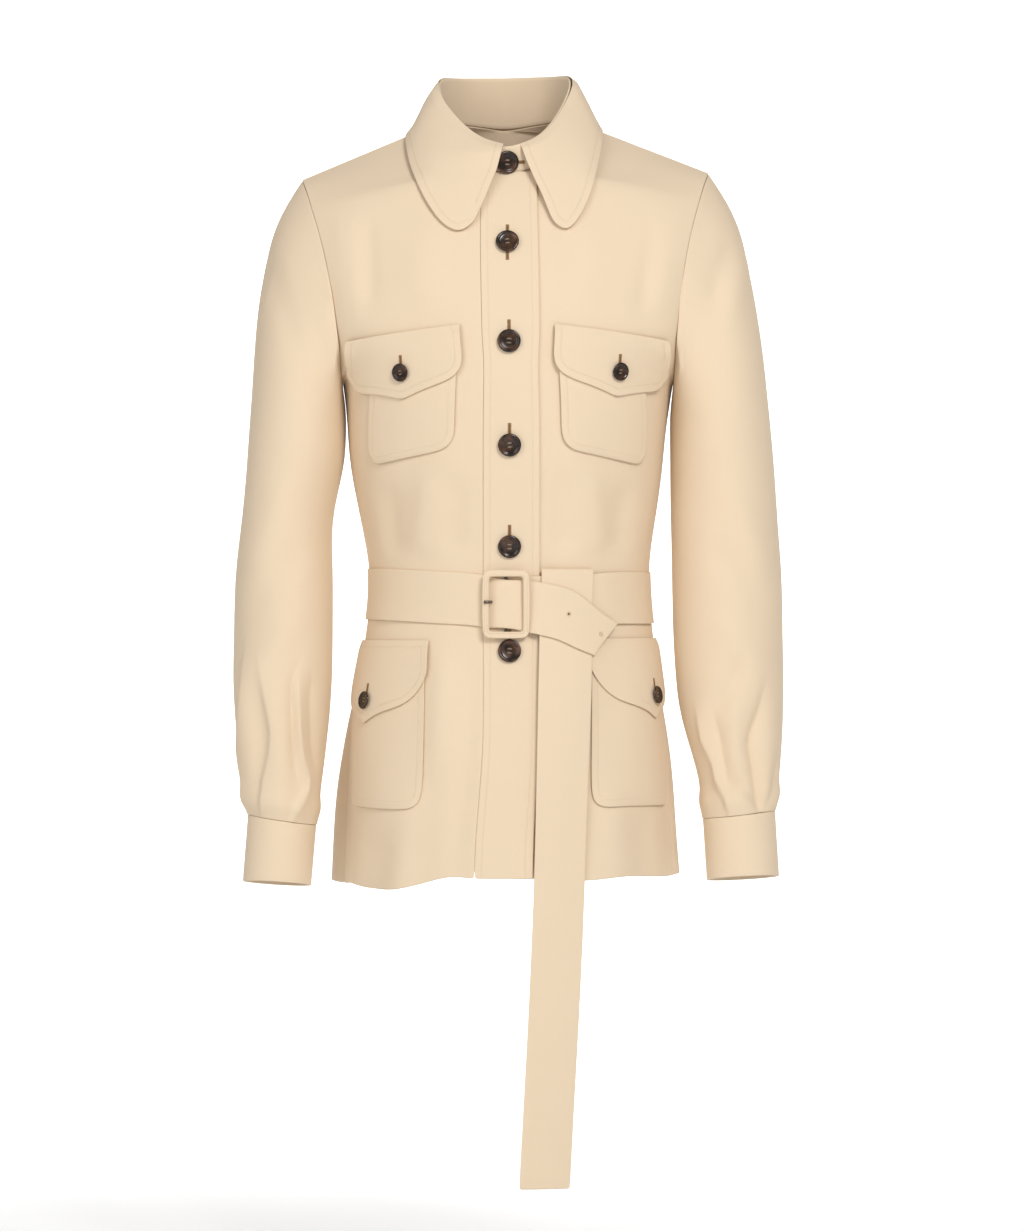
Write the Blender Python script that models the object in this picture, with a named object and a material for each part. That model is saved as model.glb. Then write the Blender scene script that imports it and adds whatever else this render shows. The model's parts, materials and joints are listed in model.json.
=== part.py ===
"""Belted safari jacket in its worn, hollow shape: every cut piece is a thin closed cloth shell.

Millimetres below, metres in the meshes. The origin lies midway between the two shoulders at the neck,
+Z is up, the front faces -Y, and the wearer's right side is at -X.
"""
import math

import bpy
import numpy as np
from mathutils import Vector
from mathutils.bvhtree import BVHTree

MM = 0.001
RIGHT = -1
LEFT = 1
SIDE_NAMES = {RIGHT: "right", LEFT: "left"}
UP = np.array((0.0, 0.0, 1.0))
CURVE_POINTS = 97
SHARP_ANGLE = 50.0

# Cloth and clearances
CLOTH = 1.6
PATCH = 1.4
BELT_CLOTH = 1.6
SEAM_GAP = 0.3
ARMHOLE_GAP = 0.5
LIFT = 0.8
ROW_FULLNESS = 1.05
ROW_LEAST_TURN = 8.0
ROW_LEVEL_START = 30.0      # rows that start nearer to the centre line than this leave it level

# Pose: the left shoulder is carried a little higher, and the yoke leans to the right
SHOULDER_TILT = 0.017
SHOULDER_LEAN = -2.5
TILT_FADE = (-260.0, -50.0)

# A half panel is a stack of rows. Each row runs from the inner edge (centre line, then neckline) to the
# outer edge (side seam, then armhole); the turns are its headings in plan, 0 sideways and 90 straight back.
ROW_COLUMNS = ("x_in", "y_in", "z_in", "x_out", "y_out", "z_out", "turn_in", "turn_out")
FRONT_ROWS = (
    (0, -117, -702, 157, 8, -706, 0, 92),      # hem
    (0, -115, -638, 154, 8, -638, 0, 92),      # lower pocket's bottom
    (0, -112, -565, 150, 8, -565, 0, 92),      # hip
    (0, -99, -473, 133.5, 8, -473, 0, 92),     # belt's lower edge
    (0, -97.5, -440, 130.5, 8, -440, 0, 90),   # waist
    (0, -98.5, -407, 132, 7, -407, 0, 90),     # belt's upper edge
    (0, -113, -316, 149, 6, -318, 0, 90),      # ribs
    (0, -121, -258, 151.5, 5, -276, 0, 90),    # bust
    (0, -122, -222, 156.5, 4, -240, 0, 86),    # underarm
    (0, -120, -190, 157, -38, -229, 0, 74),
    (0, -115, -158, 158.5, -63, -200, 0, 60),
    (0, -106, -122, 163, -71, -155, 0, 47),
    (0, -92, -86, 172, -62, -106, 0, 40),
    (0, -69, -41, 181, -45, -76, 0, 34),       # neck pit
    (32, -61, -33, 186, -30, -59, 6, 26),
    (54, -33, -8, 190, -15, -47.5, 14, 14),
    (62, 0, 12.4, 193, 0, -40.5, 0, 0),        # shoulder seam
)
BACK_ROWS = (
    (0, 118, -706, 157, 8, -706, 0, 88),
    (0, 117, -638, 154, 8, -638, 0, 88),
    (0, 116, -565, 150, 8, -565, 0, 88),
    (0, 93.5, -473, 133.5, 8, -473, 0, 88),
    (0, 91, -440, 130.5, 8, -440, 0, 90),
    (0, 92, -407, 132, 7, -407, 0, 90),
    (0, 105, -316, 149, 6, -318, 0, 90),
    (0, 111, -258, 151.5, 5, -276, 0, 90),
    (0, 113, -222, 156.5, 4, -240, 0, 86),
    (0, 114, -190, 160, 46, -229, 0, 72),
    (0, 113, -158, 166, 70, -200, 0, 56),
    (0, 109, -122, 173, 78, -155, 0, 42),
    (0, 102, -86, 181, 66, -106, 0, 34),
    (0, 91, -38, 187, 46, -76, 0, 26),
    (0, 75, 10, 190, 31, -59, 0, 20),          # nape
    (40, 57, 14, 192, 16, -47.5, 6, 12),
    (62, 0, 12.4, 193, 0, -40.5, 0, 0),
)
SIDE_TRIM = {           # how much wider each side seam is, row by row from the hem up
    RIGHT: (-1, -1, -1, 1.5, 0, 0, 1, 0.5),
    LEFT: (1, 0, 0, 4, 3.5, 2, -2, -0.5),
}
HEM_DROP = {RIGHT: -6.0, LEFT: 2.0}
UNDERARM_ROW = 8
FRONT_NECK_ROW = 13
BACK_NECK_ROW = 14
ROW_STEPS = (1, 2, 3, 1, 1, 2, 1, 1, 2, 1, 1, 1, 1, 2, 2, 2)
RELAX_START = (5.5, 7.0)
RELAX_END = (11.0, 13.0)
RELAX_ROUNDS = 90
RELAX_HOLD = (0.72, 0.98)
FRONT_COLUMNS = 12
BACK_COLUMNS = 10
CENTRE_STRIP = 5.0

# Front opening: the placket is sewn to the right front and laps over the left front
PLACKET_SEAM = 23.0
PLACKET_EDGE = 29.5
PLACKET_CLOTH = 2.0
PLACKET_OUT = 0.6
PLACKET_COLUMNS = 4
UNDERLAP_REACH = 15.0
UNDERLAP_DEPTH = 2.0
UNDERLAP_FADE = (36.0, 62.0)
UNDERLAP_TOP = (-20.0, 0.0)

# Large soft folds of the body: distance round from the centre line, height of the middle, half length,
# half width, how far the cloth stands out (or in, when negative), and the lean of the fold
FOLD_EDGES = (0.12, 0.93)
BELT_GRIP_LOW = (-498.0, -470.0)
BELT_GRIP_HIGH = (-412.0, -385.0)
FRONT_FOLDS = {
    RIGHT: (
        (62, -525, 62, 20, 3.5, 0.10),
        (118, -690, 70, 26, 5.0, 0.05),
        (80, -690, 70, 22, -2.5, 0.05),
        (60, -352, 48, 19, 3.0, -0.15),
        (98, -355, 50, 20, -2.0, -0.15),
        (196, -650, 110, 18, -4.0, 0.0),
        (112, -130, 60, 22, -2.5, 0.25),
    ),
    LEFT: (
        (60, -520, 55, 20, 3.0, 0.05),
        (100, -525, 60, 20, -2.5, 0.05),
        (64, -350, 50, 19, 3.0, -0.12),
        (100, -352, 50, 20, -2.0, -0.15),
        (196, -650, 110, 18, -3.5, 0.0),
        (118, -125, 60, 22, -3.0, 0.25),
    ),
}
BACK_FOLDS = {
    RIGHT: (
        (176, -725, 165, 24, 28.0, 0.0),
        (45, -530, 70, 22, 3.5, 0.0),
        (90, -525, 60, 20, -2.5, 0.1),
        (50, -350, 60, 22, 4.0, 0.1),
        (110, -345, 60, 24, 3.0, -0.1),
    ),
    LEFT: (
        (176, -725, 165, 24, 17.0, 0.0),
        (52, -525, 70, 22, 3.5, 0.0),
        (98, -530, 60, 20, -2.5, 0.1),
        (58, -345, 60, 22, 4.0, 0.1),
        (112, -350, 60, 24, 3.0, -0.1),
    ),
}

# Sleeves: rings down the arm, each with its own centre and half sizes
SLEEVE_COLUMNS = ("z", "x_right", "half_right", "x_left", "half_left", "y", "half_depth")
SLEEVE_RINGS = (
    (-277, 199.9, 46.6, 201.6, 48.3, 4, 65),
    (-320, 202.0, 47.0, 203.5, 50.0, 5, 63),
    (-361, 209.3, 43.3, 205.5, 51.5, 5, 60),
    (-410, 211.5, 46.0, 207.3, 52.7, 3, 58),
    (-460, 213.3, 48.2, 208.8, 53.2, -1, 56),
    (-515, 214.7, 48.2, 210.0, 52.0, -7, 54),
    (-564, 214.5, 44.0, 212.0, 49.0, -13, 50),
    (-610, 213.7, 38.7, 218.7, 38.7, -19, 45),
    (-650, 213.5, 33.3, 218.4, 35.2, -24, 37),
)
SLEEVE_RISE = {RIGHT: 0.0, LEFT: 5.0}
SLEEVE_RISE_RUN = (300.0, 600.0)
SLEEVE_AROUND = 24
CAP_ROWS = 5
SLEEVE_STEPS = 11
CAP_HANDLES = (0.145, 0.42)
CAP_TURN = (18.0, 92.0)
CAP_SPREAD = 0.12
SLEEVE_GATHERS = (      # angle round from the outer line towards the front, depth, half width, height of top
    (35, 3.2, 9, -545),
    (68, 4.2, 9, -520),
    (100, 3.8, 9, -560),
    (130, 2.8, 9, -535),
    (215, 3.0, 9, -540),
    (250, 3.6, 9, -520),
    (285, 3.2, 9, -550),
    (322, 2.6, 9, -530),
)
GATHER_END = 18.0
GATHER_EASE = 0.35
SLEEVE_FOLDS = (        # angle, height, half angle, half height, out
    (60, -400, 40, 26, 3.0),
    (110, -345, 45, 24, -3.0),
    (300, -420, 45, 30, 3.5),
    (250, -370, 45, 26, -3.0),
    (30, -470, 40, 28, -2.5),
)
CUFF_DROP = 60.0
CUFF_DIP = 0.10         # fall of the hem towards the back of the wrist
CUFF_SHIFT = {RIGHT: (-4.6, -7.0), LEFT: (3.4, -7.0)}
CUFF_FLARE = 1.0
CUFF_TILT = {           # rise towards the outer side, at the seam and at the hem
    RIGHT: (0.155, 0.06),
    LEFT: (0.11, 0.055),
}
CUFF_TILT_RUN = (570.0, 650.0)
CUFF_ROWS = 2
CUFF_CLOTH = 2.6
CUFF_INSET = 0.6

# Collar: the stand's top edge and the leaf's outer edge, by stations from the neck pit (0) over the shoulder
# seam (3) to the nape (5)
STAND_COLUMNS = ("station", "x", "y", "z")
STAND_TOP = (
    (0, 0, -72, -20),
    (1, 33, -60, -8),
    (2, 55, -31, 22),
    (3, 64, 4, 52),
    (4, 42, 50, 58),
    (5, 0, 66, 59),
)
STAND_RIGHT_END = 25.0
STAND_LEFT_END = 14.0
STAND_LAP = 2.4
STAND_LAP_RUN = (0.05, 0.95)
STATION_LENGTH = 33.0
STAND_ROWS = 3
LEAF_COLUMNS = ("station", "x", "y", "z")
LEAF_EDGE = {
    RIGHT: (
        (0.40, 25, -96, -84),
        (0.62, 35, -98, -95),
        (0.85, 46, -99, -99),
        (1.10, 59, -95, -91),
        (1.50, 74, -84, -69),
        (2.10, 88, -56, -38),
        (3.00, 94, 1, -1),
        (3.60, 84, 62, -6),
        (4.30, 48, 92, -12),
        (5.00, 0, 99, -12),
    ),
    LEFT: (
        (0.40, 44, -95, -90),
        (0.62, 52, -97, -97),
        (0.85, 60, -96, -98),
        (1.10, 69, -91, -87),
        (1.50, 79, -82, -66),
        (2.10, 88, -54, -32),
        (3.00, 92, 1, 3),
        (3.60, 82, 62, -6),
        (4.30, 48, 92, -12),
        (5.00, 0, 99, -12),
    ),
}
LEAF_CLOTH = 1.8
BODY_MIDDLE = (0.0, 0.0, -200.0)
NECK_MIDDLE = (0.0, 0.0, -30.0)
LEAF_CLEAR = 3.1
LEAF_ROWS = 6
LEAF_FRONT_CELLS = 12
LEAF_BACK_CELLS = 6
LEAF_SHOULDER = 3.0
LEAF_ROLL_OUT = 3.3
LEAF_ROLL_UP = 0.8
LEAF_START = (0.07, -0.12)      # the roll's heading, out and up, as shares of the leaf's depth
LEAF_END = (0.30, 0.04)         # the edge's heading, back and up
LEAF_SPREAD = 0.45

# Patch pockets and flaps, placed by distance round from the centre front and by height
POCKET_COLUMNS = ("inner", "outer", "top_inner", "top_outer", "bottom_inner", "bottom_outer", "corner")
CHEST_POCKET = (50, 147, -207, -222, -302, -318, 15)
LOWER_POCKET = (79, 194, -503, -503, -636, -636, 13)
FLAP_COLUMNS = ("inner", "outer", "flare", "top_inner", "top_outer", "depth", "point", "button",
                "button_drop")
CHEST_FLAP = {
    RIGHT: (43, 166, 12, -187, -200.5, 63, 0.444, 107, 37),
    LEFT: (43, 166, 12, -187, -200.5, 60, 0.47, 112, 36),
}
LOWER_FLAP = {
    RIGHT: (75, 203, 0, -481, -481, 78, 0.61, 150, 57),
    LEFT: (77, 203, 0, -479, -479, 75, 0.65, 159, 54),
}
FLAP_SHAPE = (          # share of the width, drop of the lower edge as a share of the flap's depth
    (0.00, 0.40),
    (0.015, 0.56),
    (0.05, 0.68),
    (0.11, 0.77),
    (0.19, 0.82),
    (0.29, 0.865),
    (0.39, 0.92),
    (0.50, 1.00),
    (0.61, 0.925),
    (0.71, 0.87),
    (0.81, 0.83),
    (0.89, 0.79),
    (0.95, 0.73),
    (0.985, 0.64),
    (1.00, 0.51),
)
FLAP_CLOTH = 1.8
FLAP_STEP = (0.0, 9.0)
FLAP_ROWS = 5
POCKET_SHARES = (0.0, 0.025, 0.09, 0.18, 0.29, 0.4, 0.5, 0.6, 0.71, 0.82, 0.91, 0.975, 1.0)
POCKET_ROWS = 4

# Buttons
FRONT_BUTTON_RADIUS = 10.8
FLAP_BUTTON_RADIUS = 8.5
FRONT_BUTTON_X = 1.5
FRONT_BUTTON_HEIGHTS = (-33.0, -110.0, -203.0, -299.0, -393.0, -490.8)
BUTTON_SIDES = 12
BUTTON_PROFILE = (      # share of the radius, share of the thickness
    (0.70, 0.0),
    (1.0, 0.55),
    (0.92, 1.0),
    (0.76, 0.96),
    (0.62, 0.66),
    (0.0, 0.56),
)
BUTTON_THICKNESS = 3.4
BUTTON_SEAT = 0.5
FLAP_BUTTON_SEAT = 0.9
BUTTON_FROM = -200.0    # well in front of the collar stand, from where its button finds it

# Belt: a strip that starts at the buckle's bar, goes round the waist by the left side, comes back through
# the buckle and folds under. Girth runs from the centre front; out is the middle of the cloth.
BELT_WIDTH = 49.0
BELT_START = (          # girth, height, out, lean in degrees
    (0.6, -446, 2.4, 0),
    (14, -446, 2.5, 0),
    (27, -445, 4.1, 0),
    (60, -444, 4.2, 0),
    (92, -442, 4.2, 0),
    (106, -441, 3.2, 0),
    (122, -441, 2.3, 0),
    (150, -441, 2.1, 0),
)
BELT_AROUND = (         # share of the girth between the two ends, height
    (0.15, -440),
    (0.5, -438),
    (0.85, -437),
)
BELT_STEP = 14.0
BELT_EVEN = 100.0
BELT_BACK = 2.1
BELT_FINISH = (         # girth past the centre front, once round
    (-120, -438, 2.1, 0),
    (-60, -441, 2.1, 0),
    (-28, -443, 2.3, 0),
    (-18, -445, 2.6, 0),
    (-10, -446, 4.6, 0),
    (-2, -447, 5.7, 0),
    (10, -448, 5.5, 0),
    (21, -450, 5.5, 4),
    (26.5, -451, 9.0, 7),
    (34, -453, 9.5, 11),
    (50, -457, 9.5, 18),
    (70, -467, 9.5, 26),
    (85, -474.5, 9.1, 31),
    (91, -478, 8.2, 32),
)
BELT_ROWS = 2
DROP_OVER = (           # x, height, out: up behind the belt, over its top edge and down in front of it
    (57, -438, 1.8),
    (56.5, -428, 1.8),
    (56, -418, 2.0),
    (55.5, -415.0, 2.9),
    (55.3, -414.2, 4.2),
    (55.2, -415.0, 5.5),
    (55, -418, 6.6),
    (54, -440, 6.6),
    (53, -468, 6.6),
    (52.5, -492, 6.4),
    (51.8, -525, 6.5),
    (51, -560, 6.2),
    (49.5, -630, 4.6),
    (48, -700, 3.0),
)
DROP_FREE = (           # x, height: below the hem it hangs plumb
    (45, -780),
    (41, -860),
    (37, -930),
    (34, -990),
)
DROP_WIDTH = (50.0, 46.5)
DROP_SHARES = (-0.5, -0.25, 0.0, 0.25, 0.5)

# Buckle: a covered rectangular frame, a bar behind the strap and a prong whose tip rests on the frame
BUCKLE_CENTRE = (-1.8, -447.0)
BUCKLE_HALF = (22.2, 32.0)
BUCKLE_BAR = 6.4
BUCKLE_CORNER = 8.0
BUCKLE_INNER_CORNER = 3.0
BUCKLE_THICKNESS = 3.2
BUCKLE_OUT = 7.9
BUCKLE_CORNER_STEPS = 3
BUCKLE_SOFTEN = 0.8
BAR_WIDTH = 3.0
BAR_THICKNESS = 1.5
BAR_OUT = 3.4
BAR_END = 1.5
BAR_CLEAR = 1.6
BAR_BEND = 2.0
PRONG_RADIUS = 1.0
PRONG_RISE = 2.0
PRONG_PATH = (          # x, out
    (-9.0, 7.4),
    (-12.5, 9.6),
    (-15.5, 12.2),
    (-19.0, 12.5),
    (-23.2, 12.5),
)
PRONG_SIDES = 8

# Finishes
CLOTH_ROUGHNESS = 0.9
HORN_ROUGHNESS = 0.25
METAL_ROUGHNESS = 0.35
CLOTH_COLOUR = (0.80, 0.65, 0.47, 1.0)
HORN_COLOUR = (0.035, 0.022, 0.016, 1.0)
METAL_COLOUR = (0.10, 0.09, 0.08, 1.0)


def column(table, names, name):
    """One named column of a table, as an array."""
    index = names.index(name)
    return np.array([row[index] for row in table], float)


def spline(knots, values, at):
    """Smooth curve through a table's values: cubic pieces that share their slopes."""
    knots = np.asarray(knots, float)
    values = np.asarray(values, float)
    at = np.atleast_1d(np.asarray(at, float))
    slopes = np.gradient(values, knots, axis=0)
    piece = np.clip(np.searchsorted(knots, at, side="right") - 1, 0, len(knots) - 2)
    span = knots[piece + 1] - knots[piece]
    t = (at - knots[piece]) / span
    if values.ndim > 1:
        span = span[:, None]
        t = t[:, None]
    near = (1 + 2 * t) * (1 - t) ** 2 * values[piece] + t * (1 - t) ** 2 * span * slopes[piece]
    far = t * t * (3 - 2 * t) * values[piece + 1] + t * t * (t - 1) * span * slopes[piece + 1]
    return near + far


def ease(value, start, end):
    """Smooth step from 0 at start to 1 at end."""
    t = np.clip((np.asarray(value, float) - start) / (end - start), 0, 1)
    return t * t * (3 - 2 * t)


def unit(vectors):
    """Vectors scaled to length one."""
    length = np.linalg.norm(vectors, axis=-1, keepdims=True)
    return vectors / np.maximum(length, 1e-9)


def bezier(start, handle_a, handle_b, end, count):
    """Points of one cubic curve."""
    t = np.linspace(0, 1, count)[:, None]
    return ((1 - t) ** 3 * start + 3 * t * (1 - t) ** 2 * handle_a
            + 3 * t * t * (1 - t) * handle_b + t ** 3 * end)


def even_steps(line, count):
    """The same line with its points at equal steps of length."""
    step = np.linalg.norm(np.diff(line, axis=0), axis=1)
    along = np.concatenate(([0], np.cumsum(step)))
    want = np.linspace(0, along[-1], count)
    return np.stack([np.interp(want, along, line[:, axis]) for axis in range(3)], axis=1)


def grid_normals(grid, closed=False):
    """Unit normals of a grid of points (rows by columns), from its neighbours."""
    down = np.gradient(grid, axis=0)
    if closed:
        across = (np.roll(grid, -1, axis=1) - np.roll(grid, 1, axis=1)) / 2
    else:
        across = np.gradient(grid, axis=1)
    return unit(np.cross(across, down))


def pose(points):
    """The carriage of the shoulders: a slight tilt and lean that fade out at the chest."""
    share = ease(points[..., 2], *TILT_FADE)
    moved = points.copy()
    moved[..., 2] += SHOULDER_TILT * points[..., 0] * share
    moved[..., 0] += SHOULDER_LEAN * share
    return moved


class Panel:
    """A half panel as a dense lattice: rows of equal steps from its inner to its outer edge."""

    ROWS_PER_STEP = 8
    ACROSS = 57

    def __init__(self, table, neck_row, side, folds):
        self.side = side
        self.last = len(table) - 1
        self.knots = np.arange(len(table), dtype=float)
        self.table = np.array(table, float)
        trim = SIDE_TRIM[side]
        self.table[:len(trim), ROW_COLUMNS.index("x_out")] += trim
        self.table[0, ROW_COLUMNS.index("z_out")] += HEM_DROP[side]
        self.neck_row = neck_row
        self.levels = np.linspace(0, self.last, self.last * self.ROWS_PER_STEP + 1)
        rows = [even_steps(self.row_curve(level), self.ACROSS) for level in self.levels]
        self.points = np.array(rows)
        self.points[..., 0] *= side
        self.relax()
        self.measure()
        self.add_folds(folds)
        self.measure()

    def edge(self, first, bend, level):
        """Three table columns at a level, from the named one on: two smooth curves that meet at the bend row."""
        place = ROW_COLUMNS.index(first)
        values = self.table[:, place:place + 3]
        if level <= bend:
            return spline(self.knots[:bend + 1], values[:bend + 1], level)[0]
        return spline(self.knots[bend:], values[bend:], level)[0]

    def row_curve(self, level):
        start = self.edge("x_in", self.neck_row, level)
        end = self.edge("x_out", UNDERARM_ROW, level)
        turn_in, turn_out = spline(self.knots, self.table[:, ROW_COLUMNS.index("turn_in"):], level)[0]
        chord = end - start
        facing = math.copysign(1, end[1] - start[1]) if level < self.last else 1
        slope = chord[2] / np.linalg.norm(chord[:2])
        headings = []
        for turn, slope_share in ((turn_in, min(1.0, start[0] / ROW_LEVEL_START)), (turn_out, 1.0)):
            angle = math.radians(turn)
            heading = np.array((math.cos(angle), facing * math.sin(angle), slope * slope_share))
            headings.append(heading / np.linalg.norm(heading))
        bend = math.radians(max(ROW_LEAST_TURN, abs(turn_out - turn_in)))
        reach = ROW_FULLNESS * 4 / 3 * math.tan(bend / 4) / math.sin(bend)
        handle_in = reach * abs(chord @ headings[0]) * headings[0]
        handle_out = reach * abs(chord @ headings[1]) * headings[1]
        return bezier(start, start + handle_in, end - handle_out, end, CURVE_POINTS)

    def relax(self):
        """Evens out the rows over the chest, where the side seam turns into the armhole; the edges stay."""
        hold = ease(np.linspace(0, 1, self.ACROSS), *RELAX_HOLD)[None, :, None]
        reach = ease(self.levels, *RELAX_START) * (1 - ease(self.levels, *RELAX_END))
        share = 0.5 * reach[1:-1, None, None] * (1 - hold)
        for _ in range(RELAX_ROUNDS):
            mean = (self.points[:-2] + self.points[2:]) / 2
            self.points[1:-1] += share * (mean - self.points[1:-1])

    def measure(self):
        """Row lengths and outward normals."""
        self.lengths = np.linalg.norm(np.diff(self.points, axis=1), axis=2).sum(axis=1)
        normals = grid_normals(self.points)
        middle = self.points[len(self.levels) // 3, self.ACROSS // 2]
        outward = np.array((middle[0], middle[1], 0))
        if normals[len(self.levels) // 3, self.ACROSS // 2] @ outward < 0:
            normals = -normals
        self.normals = normals

    def add_folds(self, folds):
        """Soft ridges and troughs, moved along the normals and faded out at the panel's own edges."""
        share = np.linspace(0, 1, self.ACROSS)[None, :]
        across = share * self.lengths[:, None]
        height = self.points[..., 2]
        move = np.zeros_like(across)
        for place, z, length, width, out, lean in folds:
            middle = place + lean * (height - z)
            ridge = np.exp(-((across - middle) / width) ** 2)
            run = np.exp(-(((height - z) / length) ** 2) ** 1.5)
            move += out * ridge * run
        grip = ease(height, *BELT_GRIP_LOW) * (1 - ease(height, *BELT_GRIP_HIGH))
        move *= 1 - grip
        edge_fade = ease(share, 0.0, FOLD_EDGES[0]) * (1 - ease(share, FOLD_EDGES[1], 1.0))
        top_fade = (1 - ease(self.levels, self.last - 3.0, self.last))[:, None]
        self.points = self.points + (move * edge_fade * top_fade)[..., None] * self.normals

    def sample(self, grid, share, level):
        """A lattice value between its points; share runs 0 to 1 across, level counts table rows."""
        i = np.clip(level * self.ROWS_PER_STEP, 0, len(self.levels) - 1.000001)
        j = np.clip(share * (self.ACROSS - 1), 0, self.ACROSS - 1.000001)
        i0 = int(i)
        j0 = int(j)
        a = i - i0
        b = j - j0
        return ((1 - a) * ((1 - b) * grid[i0, j0] + b * grid[i0, j0 + 1])
                + a * ((1 - b) * grid[i0 + 1, j0] + b * grid[i0 + 1, j0 + 1]))

    def at(self, share, level, out=0.0):
        """Point at a share of a row, moved out along the normal."""
        normal = unit(self.sample(self.normals, share, level))
        return self.sample(self.points, share, level) + out * normal

    def beside(self, across, level, out=0.0):
        """Point at a distance along a row; below zero it lies past the centre line, mirrored."""
        point = self.at(abs(self.share_at(across, level)), level, out)
        if across < 0:
            point[0] = -point[0]
        return point

    def row_length(self, level):
        return float(np.interp(level, self.levels, self.lengths))

    def share_at(self, across, level):
        return across / self.row_length(level)

    def find(self, across, z):
        """Share and level of the point at a distance along its row from the inner edge and at a height."""
        low = 0.0
        high = float(self.last)
        for _ in range(40):
            level = (low + high) / 2
            if self.sample(self.points, self.share_at(across, level), level)[2] < z:
                low = level
            else:
                high = level
        return self.share_at(across, level), level

    def place(self, across, z, out=0.0):
        """Point of the panel by distance along its row and by height."""
        level = self.find(abs(across), z)[1]
        return self.beside(across, level, out)

    def facing(self, across, z):
        """Outward normal at a place of the panel."""
        share, level = self.find(abs(across), z)
        normal = unit(self.sample(self.normals, share, level))
        if across < 0:
            normal[0] = -normal[0]
        return normal


def mesh_levels():
    """Levels of a panel mesh's rows, with every table row among them."""
    levels = []
    for index, steps in enumerate(ROW_STEPS):
        levels += [index + step / steps for step in range(steps)]
    return np.array(levels + [len(ROW_STEPS)])


LEVELS = mesh_levels()
ARM_FIRST = int(np.argmin(abs(LEVELS - UNDERARM_ROW)))
FRONTS = {side: Panel(FRONT_ROWS, FRONT_NECK_ROW, side, FRONT_FOLDS[side]) for side in (RIGHT, LEFT)}
BACKS = {side: Panel(BACK_ROWS, BACK_NECK_ROW, side, BACK_FOLDS[side]) for side in (RIGHT, LEFT)}


def material(name, colour, roughness, metallic=0.0):
    made = bpy.data.materials.get(name)
    if made is None:
        made = bpy.data.materials.new(name)
        made.use_nodes = True
        shader = made.node_tree.nodes["Principled BSDF"]
        shader.inputs["Base Color"].default_value = colour
        shader.inputs["Roughness"].default_value = roughness
        shader.inputs["Metallic"].default_value = metallic
    return made


def add_object(name, points, faces, finish):
    """A closed mesh as a named object, in metres, with its faces turned outwards."""
    posed = pose(np.asarray(points, float)) * MM
    volume = 0.0
    for face in faces:
        for second, third in zip(face[1:-1], face[2:]):
            volume += posed[face[0]] @ np.cross(posed[second], posed[third])
    if volume < 0:
        faces = [face[::-1] for face in faces]
    mesh = bpy.data.meshes.new(name)
    mesh.from_pydata(posed.tolist(), [], [tuple(int(corner) for corner in face) for face in faces])
    mesh.shade_smooth()
    mesh.set_sharp_from_angle(angle=math.radians(SHARP_ANGLE))
    mesh.materials.append(finish)
    made = bpy.data.objects.new(name, mesh)
    bpy.context.collection.objects.link(made)
    return made


def cloth(name, outer, inner, closed=False, open_cells=()):
    """A cloth shell between an outer and an inner grid of points, with a rim along its edges.

    Cells named in open_cells are left out, so that an edge can run into the grid.
    """
    rows, columns = outer.shape[:2]
    points = np.concatenate((outer.reshape(-1, 3), inner.reshape(-1, 3)))
    half = rows * columns
    cells = []
    for i in range(rows - 1):
        for j in range(columns if closed else columns - 1):
            if (i, j) not in open_cells:
                k = (j + 1) % columns
                cells.append((i * columns + j, i * columns + k, (i + 1) * columns + k, (i + 1) * columns + j))
    edges = {(cell[n], cell[(n + 1) % 4]) for cell in cells for n in range(4)}
    faces = list(cells)
    faces += [tuple(half + corner for corner in cell[::-1]) for cell in cells]
    faces += [(b, a, half + a, half + b) for a, b in sorted(edges) if (b, a) not in edges]
    used = sorted({corner for face in faces for corner in face})
    place = {corner: index for index, corner in enumerate(used)}
    faces = [tuple(place[corner] for corner in face) for face in faces]
    return add_object(name, points[used], faces, material("pale_wool_" + name, CLOTH_COLOUR, CLOTH_ROUGHNESS))


def outward(grid, centre, closed=False):
    """Grid normals turned away from a centre."""
    normals = grid_normals(grid, closed)
    if np.sum(normals * (grid - centre)) < 0:
        normals = -normals
    return normals


def seam_walls(side):
    """Wall directions along the outer edge of a body half: on the side and shoulder seams front and back
    share the mean of their normals, along the armhole each keeps its own."""
    walls = {}
    for key, panel in (("front", FRONTS[side]), ("back", BACKS[side])):
        walls[key] = np.array([unit(panel.sample(panel.normals, 1.0, level)) for level in LEVELS])
    shared = unit(walls["front"] + walls["back"])
    for key in walls:
        walls[key][:ARM_FIRST + 1] = shared[:ARM_FIRST + 1]
        walls[key][-1] = shared[-1]
    return walls


WALLS = {side: seam_walls(side) for side in (RIGHT, LEFT)}


def armhole_ring(side):
    """The armhole as a closed ring from the shoulder down the front and up the back."""
    levels = LEVELS[ARM_FIRST:]
    front = np.array([FRONTS[side].at(1.0, level) for level in levels])
    back = np.array([BACKS[side].at(1.0, level) for level in levels])
    return np.concatenate((front[::-1], back[1:-1]))


def sleeve_headings(side):
    """How the sleeve leaves the armhole: out along the shoulder at the top, straight down underneath."""
    angle = np.arange(SLEEVE_AROUND) * 2 * math.pi / SLEEVE_AROUND
    low_share = (1 - np.cos(angle)) / 2
    fall = np.radians(CAP_TURN[0] + (CAP_TURN[1] - CAP_TURN[0]) * low_share)
    return np.stack((side * np.cos(fall), -CAP_SPREAD * np.sin(angle), -np.sin(fall)), axis=1)


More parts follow.
